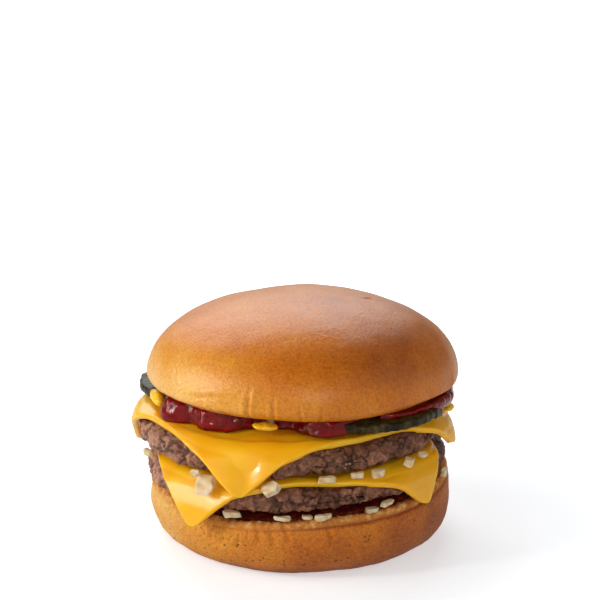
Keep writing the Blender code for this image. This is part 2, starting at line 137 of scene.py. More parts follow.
# Cheese: a square slice lies on each patty and its corners fold down over the edge. The folds run from the
# corner at the heading to the right: where a fold starts, how round it is, and how steep it ends, in degrees.
# The valley runs down the middle of the first corner.
SLICE_THICK = 2.0
CHEESES = {
    "cheese_lower": dict(
        on="patty_lower",
        side=84.4,
        centre=(-2.6, -2.7),
        heading=-37.5,
        folds=((40.3, 5.8, 73.0), (42.5, 7.2, 76.0), (43.5, 7.0, 66.0), (43.5, 6.5, 72.0)),
        valley=0.0,
    ),
    "cheese_upper": dict(
        on="patty_upper",
        side=85.4,
        centre=(-4.4, -1.6),
        heading=-16.0,
        folds=((41.4, 6.0, 72.5), (45.4, 6.5, 73.0), (43.5, 7.0, 64.0), (38.2, 9.0, 82.0)),
        valley=1.1,
    ),
}
SLICE_DROOP_START = 4.5
SLICE_DROOP_ROUND = 6.0
SLICE_DROOP_STEEPEST = 25.0
SLICE_DROOP_SIDES = 1.3
SLICE_GAP = 0.35
SLICE_BEND_SPARE = 0.4
SLICE_CURL = 0.02
SLICE_CURL_MIDDLE = 9.0

# Pickles: bearing and distance of the centre, radius, thickness, and how far the outer edge sags
PICKLES = {
    "pickle_left": dict(bearing=-112.0, distance=31.9, radius=21.5, thick=3.0, sag=0.0),
    "pickle_right": dict(bearing=50.0, distance=27.0, radius=22.8, thick=3.0, sag=2.2),
}
PICKLE_LIFT = 0.65
PICKLE_SAG_START = 39.5
PICKLE_SAG_RUN = 4.0

# Ketchup: the radius of the layer, and its lobes: bearing, width and reach of each
KETCHUP_RADIUS = 41.0
KETCHUP_LOBES = (
    (-66.0, 10.0, 6.4),
    (-44.0, 8.0, 0.8),
    (-19.0, 13.0, -8.5),
    (-3.0, 8.0, -5.0),
    (9.0, 5.0, 1.6),
)
KETCHUP_BAND = dict(first=34.0, last=108.0, inner=42.0, outer=48.6)
KETCHUP_BAND_DIVE = 76.0
KETCHUP_BAND_HANG = 0.4

# Share of its height that a drop of mustard keeps once it has settled
MUSTARD_SLUMP = 0.85

# Softboxes: bearing and rise as seen from the burger, distance, width, height in metres, glow and tint
SOFTBOXES = (
    ("left_softbox", -82.0, 21.0, 0.9, 0.55, 0.36, 5.3, "#fffdf8"),
    ("left_lamp", -66.0, 26.0, 1.0, 0.15, 0.15, 28.0, "#fffdf8"),
    ("left_sheet", -64.0, 32.0, 1.0, 1.5, 0.9, 0.75, "#fffdf8"),
    ("front_lamp", 8.0, 24.0, 1.0, 0.14, 0.14, 28.0, "#fffdf8"),
    ("front_sheet", 6.0, 12.0, 1.1, 1.7, 0.5, 0.36, "#fffdf8"),
    ("right_sheet", 66.0, 26.0, 1.0, 1.2, 0.9, 0.48, "#fffdf8"),
    ("back_softbox", 188.0, 26.0, 0.95, 0.9, 0.42, 1.8, "#ffffff"),
    ("overhead_softbox", 188.0, 48.0, 0.95, 0.8, 0.34, 3.8, "#ffffff"),
    ("right_card", 103.0, 8.0, 0.9, 0.45, 0.4, 0.5, "#ffffff"),
)

# Spacing of the finest mesh lines on each kind of piece
CRUST_STEP = 0.5
MEAT_STEP = 0.42
SLICE_STEP = 0.62
SAUCE_STEP = 0.4


# ---------------------------------------------------------------- colours and nodes


def colour(code):
    """Linear red, green, blue and alpha of an sRGB hex colour."""
    parts = [int(code[place : place + 2], 16) / 255.0 for place in (1, 3, 5)]
    linear = [part / 12.92 if part <= 0.04045 else ((part + 0.055) / 1.055) ** 2.4 for part in parts]
    return (*linear, 1.0)


def per_size(millimetres):
    """Texture scale at which a pattern's features are that many millimetres across."""
    return 1000.0 / millimetres


def add(tree, kind, inputs=None, stops=None, **settings):
    """Add a node: inputs are values or links for its sockets, stops are a ramp's places and colours."""
    node = tree.nodes.new(kind)
    for name, value in settings.items():
        setattr(node, name, value)
    for socket, value in (inputs or {}).items():
        if isinstance(value, bpy.types.NodeSocket):
            tree.links.new(value, node.inputs[socket])
        else:
            node.inputs[socket].default_value = value
    for place, (position, shade) in enumerate(stops or ()):
        ramp = node.color_ramp.elements
        stop = ramp[place] if place < len(ramp) else ramp.new(position)
        stop.position = position
        stop.color = shade
    return node


def new_material(name):
    """Empty material with its output, and the object coordinates in metres that every pattern is drawn in."""
    material = bpy.data.materials.new(name)
    material.use_nodes = True
    tree = material.node_tree
    tree.nodes.clear()
    place = add(tree, "ShaderNodeTexCoord").outputs["Object"]
    return material, tree, place


def close_material(tree, shader):
    add(tree, "ShaderNodeOutputMaterial", {"Surface": shader.outputs["BSDF"]})


# ---------------------------------------------------------------- shape tools


def spot(bearing, distance, height=0.0):
    """Points at a bearing and a distance from the burger's axis."""
    turn = np.radians(bearing)
    parts = np.broadcast_arrays(distance * np.sin(turn), -distance * np.cos(turn), height)
    return np.stack(parts, axis=-1).astype(float)


def hill(bearing, middle, width):
    """Smooth hill of height 1 around a bearing, or around a distance in millimetres."""
    away = (bearing - middle + 180.0) % 360.0 - 180.0
    return np.exp(-((away / width) ** 2))


def ease(value, start, end):
    """Smooth step from 0 at start to 1 at end."""
    share = np.clip((value - start) / (end - start), 0.0, 1.0)
    return share * share * (3.0 - 2.0 * share)


def lump(points, size, octaves=1, shift=0.0):
    """Unevenness from about -1 to 1 whose lumps are about size across."""
    flat = points.reshape(-1, 3) / size + shift
    values = [noise.fractal(Vector(point), 1.0, 2.0, octaves) for point in flat]
    return np.array(values).reshape(points.shape[:-1])


def seams(points, size, shift=0.0):
    """How far points lie from the seams between clumps of about that size, and a number for each clump."""
    flat = points.reshape(-1, 3) / size + shift
    depth, tone = [], []
    for point in flat:
        distances, centres = noise.voronoi(Vector(point))
        depth.append(distances[1] - distances[0])
        tone.append(noise.cell(centres[0] * 3.7))
    shape = points.shape[:-1]
    return np.array(depth).reshape(shape), np.array(tone).reshape(shape)


def bearings(count, crowding=0.0):
    """Bearings once round, closer together at the front by that share and wider apart at the back."""
    turn = np.arange(count) * 2.0 * math.pi / count
    return np.degrees(turn - crowding * np.sin(turn))


def quarter_round(start, end, steps):
    """Radius and height of a quarter ellipse that leaves start level and reaches end upright."""
    turn = np.linspace(0.0, 0.5 * math.pi, steps + 1)
    radius = start[0] + (end[0] - start[0]) * np.sin(turn)
    height = start[1] + (end[1] - start[1]) * (1.0 - np.cos(turn))
    return list(zip(radius, height))


def soften(rows, rounds=3):
    """Rows of control points with their corners cut to smooth curves."""
    for _ in range(rounds):
        early = 0.75 * rows[:-1] + 0.25 * rows[1:]
        late = 0.25 * rows[:-1] + 0.75 * rows[1:]
        cut = np.stack((early, late), axis=1).reshape(-1, *rows.shape[1:])
        rows = np.concatenate((rows[:1], cut, rows[-1:]))
    return rows


def respace(rows, step):
    """Rows spread evenly along their curves, about step apart."""
    lengths = np.linalg.norm(np.diff(rows, axis=0), axis=2).mean(axis=1)
    along = np.concatenate(([0.0], np.cumsum(lengths)))
    wanted = np.linspace(0.0, along[-1], max(3, int(along[-1] / step) + 1))
    after = np.clip(np.searchsorted(along, wanted), 1, len(along) - 1)
    share = (wanted - along[after - 1]) / (along[after] - along[after - 1])
    return rows[after - 1] + share[:, None, None] * (rows[after] - rows[after - 1])


def outward(rings):
    """Unit normals of stacked rings."""
    around = np.roll(rings, -1, axis=1) - np.roll(rings, 1, axis=1)
    normal = np.cross(around, np.gradient(rings, axis=0))
    return normal / np.maximum(np.linalg.norm(normal, axis=2, keepdims=True), 1e-9)


def bearing_of(points, centre=(0.0, 0.0)):
    return np.degrees(np.arctan2(points[..., 0] - centre[0], centre[1] - points[..., 1]))


def distance_of(points, centre=(0.0, 0.0)):
    return np.hypot(points[..., 0] - centre[0], points[..., 1] - centre[1])


def make_piece(name, points, faces, material, masks=None, nodes=(), slot=None):
    """Shown mesh from points in millimetres. It rides on the body, and stands for the CAD nodes given."""
    mesh = bpy.data.meshes.new(name)
    mesh.from_pydata((np.asarray(points) * MM).tolist(), [], faces)
    for mask, values in (masks or {}).items():
        layer = mesh.attributes.new(mask, "FLOAT", "POINT")
        layer.data.foreach_set("value", np.asarray(values, np.float32).ravel())
    mesh.materials.append(material)
    mesh.shade_smooth()
    piece = bpy.data.objects.new(name, mesh)
    bpy.context.scene.collection.objects.link(piece)
    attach(piece, BODY)
    if nodes:
        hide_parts(*nodes)
    return piece


def ring_piece(name, rings, material, masks=None, **facts):
    """Closed piece from rings stacked from the bottom up, each end closed with a fan to its middle."""
    levels, count = rings.shape[:2]
    number = np.arange(levels * count).reshape(levels, count)
    after = np.roll(number, -1, axis=1)
    quads = np.stack((number[:-1], after[:-1], after[1:], number[1:]), axis=-1).reshape(-1, 4)
    foot, top = levels * count, levels * count + 1
    faces = quads.tolist()
    faces += [(foot, b, a) for a, b in zip(number[0].tolist(), after[0].tolist())]
    faces += [(top, a, b) for a, b in zip(number[-1].tolist(), after[-1].tolist())]
    ends = np.stack((rings[0].mean(axis=0), rings[-1].mean(axis=0)))
    points = np.concatenate((rings.reshape(-1, 3), ends))
    closed = {}
    for mask, values in (masks or {}).items():
        closed[mask] = np.concatenate((values.ravel(), (values[0].mean(), values[-1].mean())))
    return make_piece(name, points, faces, material, closed, **facts)


def creases(points, around, radius, marks):
    """Depth of a set of pinched creases, with the soft swelling beside each of them."""
    depth = np.zeros(points.shape[:-1])
    for bearing, low, high, width, deep, turn in marks:
        height = points[..., 2]
        share = (height - low) / (high - low)
        across = np.radians((around - bearing - turn * share + 180.0) % 360.0 - 180.0) * radius
        along = ease(share, 0.0, 0.25) * (1.0 - ease(share, 0.45, 1.0))
        shape = -np.exp(-((across / width) ** 2)) + 0.55 * np.exp(-(((across - 2.1 * width) / (1.5 * width)) ** 2))
        shape += 0.4 * np.exp(-(((across + 2.0 * width) / (1.4 * width)) ** 2))
        depth += 1.6 * deep * along * shape
    return depth


# ---------------------------------------------------------------- bun


def crust_material(name, settings, roughness, grain_height):
    """Enriched wheat bun, proved and oven-baked: a thin tan to deep brown skin with fine pores, over pale
    open crumb where it was sliced and torn."""
    material, tree, place = new_material(name)
    # the browning mask holds real browning and also painted light on the left and painted shade on the right; the
    # soaked mask holds the sauce stain and painted shade under the patty
    browning = add(tree, "ShaderNodeAttribute", attribute_name="browning").outputs["Fac"]
    crumb = add(tree, "ShaderNodeAttribute", attribute_name="crumb").outputs["Fac"]
    soaked = add(tree, "ShaderNodeAttribute", attribute_name="soaked").outputs["Fac"]
    pit = add(tree, "ShaderNodeAttribute", attribute_name="pit").outputs["Fac"]
    # the skin browns unevenly, in clouds and in freckles about as wide as its blisters
    clouds = add(
        tree,
        "ShaderNodeTexNoise",
        {"Vector": place, "Scale": per_size(14.0), "Detail": 3.0, "Roughness": 0.55},
    ).outputs["Fac"]
    freckles = add(
        tree,
        "ShaderNodeTexNoise",
        {"Vector": place, "Scale": per_size(1.3), "Detail": 4.0, "Roughness": 0.65},
    ).outputs["Fac"]
    clouds = add(tree, "ShaderNodeMath", {0: clouds, 1: -0.5}, operation="ADD").outputs[0]
    clouds = add(tree, "ShaderNodeMath", {0: clouds, 1: 0.42, 2: browning}, operation="MULTIPLY_ADD").outputs[0]
    freckles = add(tree, "ShaderNodeMath", {0: freckles, 1: -0.5}, operation="ADD").outputs[0]
    freckles = add(tree, "ShaderNodeMath", {0: freckles, 1: 0.36, 2: clouds}, operation="MULTIPLY_ADD").outputs[0]
    skin = add(
        tree,
        "ShaderNodeValToRGB",
        {"Fac": freckles},
        stops=(
            (0.0, tuple(settings.crust_pale)),
            (0.34, tuple(settings.crust_golden)),
            (0.7, tuple(settings.crust_brown)),
            (1.0, tuple(settings.crust_dark)),
        ),
    ).outputs["Color"]
    pores = add(
        tree,
        "ShaderNodeTexNoise",
        {"Vector": place, "Scale": per_size(0.75), "Detail": 3.0, "Roughness": 0.6},
    ).outputs["Fac"]
    pore_tone = add(
        tree,
        "ShaderNodeMapRange",
        {"Value": pores, "From Min": 0.34, "From Max": 0.58, "To Min": 0.74, "To Max": 1.05},
    ).outputs["Result"]
    skin = add(
        tree,
        "ShaderNodeMix",
        {0: 1.0, 6: skin, 7: pore_tone},
        data_type="RGBA",
        blend_type="MULTIPLY",
    ).outputs[2]
    # small burst bubbles, about two millimetres apart, painted darker inside as painted shade in the holes
    bubbles = add(
        tree,
        "ShaderNodeTexVoronoi",
        {"Vector": place, "Scale": per_size(1.7)},
    ).outputs["Distance"]
    hole = add(
        tree,
        "ShaderNodeMapRange",
        {"Value": bubbles, "From Min": 0.06, "From Max": 0.24, "To Min": 1.0, "To Max": 0.0},
    ).outputs["Result"]
    hole = add(tree, "ShaderNodeMath", {0: hole, 1: pit}, operation="MULTIPLY", use_clamp=True).outputs[0]
    skin = add(
        tree,
        "ShaderNodeMix",
        {0: hole, 6: skin, 7: colour("#7c3a0a")},
        data_type="RGBA",
    ).outputs[2]
    # torn crumb: cream with toasted patches a few millimetres wide
    toast = add(
        tree,
        "ShaderNodeTexNoise",
        {"Vector": place, "Scale": per_size(2.4), "Detail": 4.0, "Roughness": 0.6},
    ).outputs["Fac"]
    inside = add(
        tree,
        "ShaderNodeValToRGB",
        {"Fac": toast},
        stops=(
            (0.3, colour("#a85a1c")),
            (0.54, tuple(settings.crumb)),
            (0.8, colour("#f0cf92")),
        ),
    ).outputs["Color"]
    surface = add(tree, "ShaderNodeMix", {0: crumb, 6: skin, 7: inside}, data_type="RGBA").outputs[2]
    # cut face under the patty: a real sauce stain, painted very dark as painted shade
    stain = add(
        tree,
        "ShaderNodeValToRGB",
        {"Fac": toast},
        stops=((0.3, colour("#3a0602")), (0.55, colour("#6e1506")), (0.8, colour("#a5400f"))),
    ).outputs["Color"]
    surface = add(tree, "ShaderNodeMix", {0: soaked, 6: surface, 7: stain}, data_type="RGBA").outputs[2]
    rough = add(
        tree,
        "ShaderNodeMapRange",
        {"Value": crumb, "From Min": 0.0, "From Max": 1.0, "To Min": roughness, "To Max": 0.8},
    ).outputs["Result"]
    rough = add(tree, "ShaderNodeMix", {0: soaked, 2: rough, 3: 0.35}).outputs[0]
    grain = add(
        tree,
        "ShaderNodeTexNoise",
        {"Vector": place, "Scale": per_size(0.75), "Detail": 3.0, "Roughness": 0.62},
    ).outputs["Fac"]
    grain = add(tree, "ShaderNodeMath", {0: hole, 1: -1.2, 2: grain}, operation="MULTIPLY_ADD").outputs[0]
    bump = add(
        tree,
        "ShaderNodeBump",
        {"Height": grain, "Strength": 1.0, "Distance": grain_height * MM},
    ).outputs["Normal"]
    shader = add(
        tree,
        "ShaderNodeBsdfPrincipled",
        {
            "Base Color": surface,
            "Roughness": rough,
            "Normal": bump,
            "IOR": 1.5,
            "Specular Tint": colour("#fff3de"),
            "Subsurface Weight": 0.1,
            "Subsurface Radius": (1.0, 0.35, 0.08),
            "Subsurface Scale": 0.0018,
        },
    )
    close_material(tree, shader)
    return material


def heel_rim(bearing):
    """Height of the heel's torn rim."""
    turn = np.radians(bearing)
    level = HEEL_RIM + HEEL_RIM_RIGHT * np.sin(turn) - HEEL_RIM_BACK * np.cos(turn)
    return level + 1.4 * hill(bearing, -66.0, 20.0) + 0.35 * np.sin(np.radians(5.0 * bearing + 40.0))


def plane_height(plane, x, y):
    height, to_right, to_back = plane
    return height + to_right * x + to_back * y


def build_heel(settings):
    """Heel with its pitted skin, wrinkles under the rim, torn lip, and cut face soaked with sauce and painted dark as
    shade under the patty.
    """
    patty = PATTIES["patty_lower"]
    around = bearings(int(2.0 * math.pi * HEEL_RADIUS / CRUST_STEP), 0.3)
    rim = heel_rim(around)
    wall = HEEL_RADIUS + 0.3 * np.sin(np.radians(2.0 * around + 30.0))
    outline = [(np.full_like(rim, 6.0), 0.0 * rim), (np.full_like(rim, 30.0), 0.0 * rim)]
    for radius, height in quarter_round((0.0, 0.0), (1.0, HEEL_BELLY), 8):
        outline.append((HEEL_REST_RADIUS + (wall - HEEL_REST_RADIUS) * radius, height + 0.0 * rim))
    outline += [(wall - 0.1, rim - 4.4), (wall - 0.3, rim - 2.4), (wall - 0.9, rim - 0.5)]
    outline += [(wall - 2.1, rim + 0.1), (wall - 4.2, rim + 0.3), (wall - 5.4, rim + 1.6)]
    outline += [(np.full_like(rim, 30.0), rim + 4.0)]
    rings = np.stack([spot(around, radius, height) for radius, height in outline])
    ceiling = plane_height(patty["under"], rings[..., 0], rings[..., 1]) - 0.1
    rings[..., 2] = np.minimum(rings[..., 2], ceiling)
    rings = respace(soften(rings), CRUST_STEP)
    normal = outward(rings)
    height = rings[..., 2]
    distance = distance_of(rings)
    facing = np.broadcast_to(around, height.shape)
    level = np.broadcast_to(rim, height.shape)
    # how far in from the skin's torn edge a point lies, over the rim and on towards the patty
    inward = np.broadcast_to(wall, height.shape) - 0.9 - distance
    on_top = ease(height, level - 1.4, level - 0.5)
    lip = on_top * ease(inward, -0.35, 0.25) * (1.0 - ease(inward, 2.6, 3.6))
    # the cut face under the patty: sauce stain plus painted shade
    soaked = on_top * ease(inward, 2.3, 3.3)
    side = (1.0 - on_top) * ease(height, 0.4, 3.0)

    rng = np.random.default_rng(11)
    wrinkle_spots = [-34.0, -29.5, -24.0, -19.5, -14.5, -9.0, -3.5, 12.0]
    marks = []
    for bearing in [*wrinkle_spots, *rng.uniform(90.0, 320.0, 12)]:
        top = float(heel_rim(bearing)) + 0.8
        marks.append((bearing, top - rng.uniform(4.5, 8.5), top, rng.uniform(0.55, 0.9), 0.34, rng.uniform(-3, 3)))
    relief = 0.45 * lump(rings, 17.0) + 0.22 * lump(rings, 6.0, shift=7.0) + 0.07 * lump(rings, 1.7, 2)
    relief += creases(rings, facing, HEEL_RADIUS, marks) * (1.0 - on_top)
    # the skin is pinched in just under the lip, most of all at the front right
    pinch = (height - level + 1.0 - 0.3 * lump(rings, 5.0, 1, shift=12.0)) / 0.5
    groove = np.exp(-(pinch**2)) * (1.0 - ease(inward, 0.4, 1.0)) * (0.35 + 0.65 * hill(facing, 28.0, 34.0))
    torn = 0.5 + 0.5 * lump(rings, 2.6, 2, shift=3.0)
    bulge = 0.9 * hill(inward, 0.9, 1.3) * (0.5 + 0.5 * hill(facing, 30.0, 45.0))
    relief += lip * (0.9 * torn + bulge + 0.45 * lump(rings, 1.1, 2, shift=9.0)) - 0.9 * groove
    relief += 0.35 * soaked * lump(rings, 2.2, 2, shift=5.0)
    settled = ease(height, 0.0, 1.2)
    rings = rings + normal * (relief * np.maximum(settled, on_top))[..., None]
    rings[..., 2] = np.maximum(rings[..., 2], 0.0)

    # darker towards the foot; paler on the left, painted light where the left lamps fall; browner on the right, partly
    # painted shade; a little paler in a band just under the rim
    toasted_foot = 0.5 * (1.0 - ease(height, 0.5, 5.0))
    browning = 0.66 + 0.34 * hill(facing, 62.0, 50.0) + 0.12 * lump(rings, 10.0) + toasted_foot
    browning -= 0.5 * hill(facing, -78.0, 48.0) + 0.1 * hill(height, HEEL_BELLY + 4.0, 3.5) * side
    # the groove under the lip is painted darker: painted shade in the crease
    browning += 0.45 * groove
    pit = (1.0 - on_top) * (0.2 + 0.8 * ease(lump(rings, 11.0, 2, shift=15.0) - 0.09 * (height - 9.0), -0.4, 0.4))
    masks = dict(browning=browning, crumb=lip, soaked=soaked, pit=pit)
    crust = crust_material("baked_bun_heel_crust", settings, 0.55, 0.62)
    return ring_piece("bun_heel_crust", rings, crust, masks, nodes=("bun_heel",), slot="bun_crust")


def crown_underside(radius, y):
    """Height of the crown's cut face and its rounded edge at a radius from the crown's own axis."""
    past = np.clip((radius - CROWN_CUT_RADIUS) / (CROWN_RADIUS - CROWN_CUT_RADIUS), 0.0, 1.0)
    inside = np.clip((CROWN_CUT_RADIUS - radius) / (CROWN_CUT_RADIUS - CROWN_HOLLOW_RADIUS), 0.0, 1.0)
    rise = CROWN_CUT_DEPTH * (1.0 - np.sqrt(1.0 - past * past)) + CROWN_HOLLOW * inside
    return CROWN_BELLY - CROWN_CUT_DEPTH + rise - CROWN_LEAN * y


def build_crown(settings):
    """Crown with its glossy, finely pored skin, creased edge and soft dents."""
    low = CROWN_BELLY - CROWN_CUT_DEPTH
    outline = [(8.0, low + CROWN_HOLLOW), (24.0, low + CROWN_HOLLOW), (CROWN_HOLLOW_RADIUS, low + CROWN_HOLLOW)]
    outline += quarter_round((CROWN_CUT_RADIUS, low), (CROWN_RADIUS, CROWN_BELLY), 14)
    power = 2.0 / CROWN_FULLNESS
    for turn in np.radians(np.arange(2.0, 89.0, 2.0)):
        across, up = math.cos(turn) ** power, math.sin(turn) ** power
        outline.append((CROWN_RADIUS * across, CROWN_BELLY + CROWN_DOME * up))
    around = bearings(int(2.0 * math.pi * CROWN_RADIUS / (1.45 * CRUST_STEP)), 0.5)
    rings = []
    for radius, height in outline:
        side = radius * (1.0 + 0.004 * np.sin(np.radians(2.0 * around - 50.0)))
        ring = spot(around, side, height) + np.array((*CROWN_CENTRE, 0.0))
        below = max(0.0, (CROWN_BELLY - height) / CROWN_CUT_DEPTH)
        if radius > CROWN_CUT_RADIUS:
            ring[:, 2] += below * (1.5 * hill(around, -44.0, 26.0) + 1.2 * hill(around, 56.0, 18.0))
        rings.append(ring)
    rings = respace(np.stack(rings), CRUST_STEP)
    height = rings[..., 2].copy()
    rings[..., 2] -= CROWN_LEAN * rings[..., 1]
    normal = outward(rings)
    facing = bearing_of(rings, CROWN_CENTRE)
    distance = distance_of(rings, CROWN_CENTRE)
    under = (1.0 - ease(height, low + 0.2, low + 1.2)) * (1.0 - ease(distance, 43.0, 44.5))

    rng = np.random.default_rng(23)
    marks = list(CROWN_CREASES)
    for bearing in rng.uniform(95.0, 300.0, 14):
        top = rng.uniform(55.0, 62.0)
        marks.append((bearing, 50.0, top, rng.uniform(0.6, 0.9), rng.uniform(0.2, 0.5), rng.uniform(-4.0, 4.0)))
    dome = ease(height, CROWN_BELLY, CROWN_BELLY + 8.0)
    relief = 0.5 * lump(rings, 24.0) + 0.16 * lump(rings, 8.0, shift=4.0)
    relief += 0.035 * lump(rings, 1.9, 2, shift=2.0)
    relief += creases(rings, facing, CROWN_RADIUS, marks)
    # a fold that lies along the front left edge, and a dent with a raised lip near the top right
    fold_height = 54.6 + 0.05 * (facing + 38.0) + 0.5 * np.sin(np.radians(9.0 * facing))
    fold = hill(facing, -38.0, 7.0) * np.exp(-(((height - fold_height) / 0.55) ** 2))
    swell = hill(facing, -38.0, 8.0) * np.exp(-(((height - fold_height - 1.4) / 1.0) ** 2))
    relief += 0.3 * swell - 0.4 * fold
    dent = rings - (np.array((20.5, 0.7, 76.0)) + np.array((1.2, 1.4, 0.0)))
    along = (dent[..., 0] + dent[..., 1]) / math.sqrt(2.0)
    across = (dent[..., 0] - dent[..., 1]) / math.sqrt(2.0)
    relief -= 0.55 * np.exp(-((along / 2.6) ** 2) - ((across / 0.8) ** 2)) * dome
    relief += 0.3 * np.exp(-((along / 2.4) ** 2) - (((across - 1.5) / 0.9) ** 2)) * dome
    rings = rings + normal * (relief * (1.0 - 0.7 * under))[..., None]

    rise = (height - CROWN_BELLY) / CROWN_DOME
    # browner towards the top and in clouds, as it baked; browner on the right, partly painted shade; pale low on the
    # left front, a painted sheen of the left lamps
    browning = 0.42 + 0.2 * ease(rise, 0.05, 0.4) + 0.08 * lump(rings, 13.0, 2)
    browning += 0.3 * hill(facing, 38.0, 45.0) * (1.0 - 0.5 * ease(rise, 0.6, 1.0))
    browning -= 0.42 * hill(facing, -62.0, 34.0) * (1.0 - ease(rise, 0.3, 0.75))
    masks = dict(browning=browning, crumb=under, soaked=0.0 * under, pit=0.12 + 0.0 * under)
    crust = crust_material("baked_bun_crown_crust", settings, 0.31, 0.16)
    return ring_piece("bun_crown_crust", rings, crust, masks, nodes=("bun_crown",), slot="bun_crust")


# ---------------------------------------------------------------- patties


def beef_material(settings):
    """Coarsely ground beef, seared on a griddle: grey-brown clumps with painted shade in the seams and hollows,
    lighter and pinker on the left as painted light, and small wet glints of fat."""
    material, tree, place = new_material("griddled_ground_beef")
    seam = add(tree, "ShaderNodeAttribute", attribute_name="seam").outputs["Fac"]
    tone = add(tree, "ShaderNodeAttribute", attribute_name="tone").outputs["Fac"]
    sear = add(tree, "ShaderNodeAttribute", attribute_name="sear").outputs["Fac"]
    fibres = add(
        tree,
        "ShaderNodeTexNoise",
        {"Vector": place, "Scale": per_size(1.1), "Detail": 4.0, "Roughness": 0.75},
    ).outputs["Fac"]
    mixed = add(tree, "ShaderNodeMath", {0: fibres, 1: -0.5}, operation="ADD").outputs[0]
    mixed = add(tree, "ShaderNodeMath", {0: mixed, 1: 1.9, 2: tone}, operation="MULTIPLY_ADD").outputs[0]
    flesh = add(
        tree,
        "ShaderNodeValToRGB",
        {"Fac": mixed},
        stops=(
            (0.1, colour("#553322")),
            (0.42, tuple(settings.meat)),
            (0.7, tuple(settings.meat_moist)),
            (1.0, colour("#cfa088")),
        ),
    ).outputs["Color"]
    # the seams and hollows are painted dark brown: painted shade
    flesh = add(
        tree,
        "ShaderNodeMix",
        {0: seam, 6: flesh, 7: colour("#31180e")},
        data_type="RGBA",
    ).outputs[2]
    char = add(
        tree,
        "ShaderNodeTexNoise",
        {"Vector": place, "Scale": per_size(3.2), "Detail": 3.0, "Roughness": 0.6},
    ).outputs["Fac"]
    char = add(
        tree,
        "ShaderNodeMapRange",
        {"Value": char, "From Min": 0.42, "From Max": 0.62, "To Min": 0.0, "To Max": 1.0},
    ).outputs["Result"]
    char = add(tree, "ShaderNodeMath", {0: char, 1: sear}, operation="MULTIPLY").outputs[0]
    flesh = add(
        tree,
        "ShaderNodeMix",
        {0: char, 6: flesh, 7: tuple(settings.meat_seared)},
        data_type="RGBA",
    ).outputs[2]
    wet = add(
        tree,
        "ShaderNodeMapRange",
        {"Value": fibres, "From Min": 0.4, "From Max": 0.62, "To Min": 0.5, "To Max": 0.2},
    ).outputs["Result"]
    bump = add(
        tree,
        "ShaderNodeBump",
        {"Height": fibres, "Strength": 1.0, "Distance": 0.9 * MM},
    ).outputs["Normal"]
    shader = add(
        tree,
        "ShaderNodeBsdfPrincipled",
        {
            "Base Color": flesh,
            "Roughness": wet,
            "Normal": bump,
            "IOR": 1.42,
            "Subsurface Weight": 0.1,
            "Subsurface Radius": (1.0, 0.35, 0.25),
            "Subsurface Scale": 0.0012,
        },
    )
    close_material(tree, shader)
    return material


def patty_top(patty, x, y):
    """Height of a patty's top, with the dip that its rim has on one side."""
    bearing, depth = patty["dip"]
    reach = np.hypot(x, y) / patty["radius"]
    dip = depth * reach**4 * hill(np.degrees(np.arctan2(x, -y)), bearing, PATTY_DIP_WIDTH)
    return plane_height(patty["over"], x, y) - dip


def build_patty(name, material, shift):
    """Patty whose rim is broken into ground clumps, with the griddled flat faces hidden in the stack."""
    patty = PATTIES[name]
    radius = patty["radius"]
    around = bearings(int(2.0 * math.pi * radius / MEAT_STEP))
    foot = quarter_round((radius - PATTY_FOOT_ROUND, 0.0), (radius, PATTY_FOOT_ROUND), 6)
    shoulder = quarter_round((radius - PATTY_TOP_ROUND, 0.0), (radius, -PATTY_TOP_ROUND), 8)
    outline = [(False, 12.0, 0.0), (False, radius - 8.0, 0.0)] + [(False, *point) for point in foot]
    outline += [(True, *point) for point in reversed(shoulder)] + [(True, radius - 9.0, 0.0), (True, 14.0, 0.0)]
    rings = []
    for on_top, distance, height in outline:
        ring = spot(around, distance) + np.array((*patty["centre"], 0.0))
        x, y = ring[:, 0], ring[:, 1]
        ring[:, 2] = height + (patty_top(patty, x, y) if on_top else plane_height(patty["under"], x, y))
        rings.append(ring)
    rings = np.stack(rings)
    inner = (rings[:1], rings[-1:])
    rings = respace(rings[1:-1], MEAT_STEP)
    rings = np.concatenate((inner[0], rings, inner[1]))
    normal = outward(rings)
    distance = distance_of(rings, patty["centre"])
    rim = ease(distance, radius - 8.0, radius - 3.0)
    # clumps of mince with bent seams between them, torn deeper in some places than in others
    bent = rings + 1.5 * np.stack([lump(rings, 2.6, 2, shift + turn) for turn in (1.0, 2.0, 3.0)], axis=-1)
    coarse, tone = seams(bent, 4.2, shift)
    fine, grain_tone = seams(bent, 1.5, shift + 20.0)
    torn = ease(lump(rings, 8.0, 2, shift + 8.0), -0.45, 0.2)
    crevice = (1.0 - ease(coarse, 0.0, 0.2)) * torn
    relief = 0.9 * lump(rings, 9.0, 2, shift) + 0.7 * lump(rings, 3.2, 3, shift + 4.0)
    relief += 0.3 * lump(rings, 1.2, 2, shift + 6.0) + 0.2 * ease(fine, 0.0, 0.5) - 1.0 * crevice - 0.35
    relief = np.clip(relief, -2.4, 0.6)
    rings = rings + normal * (relief * (0.15 + 0.85 * rim))[..., None]
    # lighter, pinker tone on the left side, where the left lamps fall: painted light
    moist = hill(bearing_of(rings), -70.0, 42.0)
    over = patty_top(patty, rings[..., 0], rings[..., 1])
    sear = ease(rings[..., 2], over - 3.5, over - 0.6)
    masks = dict(
        # seam mask: painted shade in the crevices and low places of the relief
        seam=np.clip(0.8 * crevice + 0.3 * torn * (1.0 - ease(fine, 0.0, 0.2)) - 0.18 * relief, 0.0, 0.8),
        tone=0.4 + 0.08 * tone + 0.14 * grain_tone + 0.25 * lump(rings, 8.0, 2, shift) + 0.36 * moist,
        sear=sear * rim,
    )
    return ring_piece(name + "_meat", rings, material, masks, nodes=(name,), slot="griddled_beef")


# ---------------------------------------------------------------- cheese


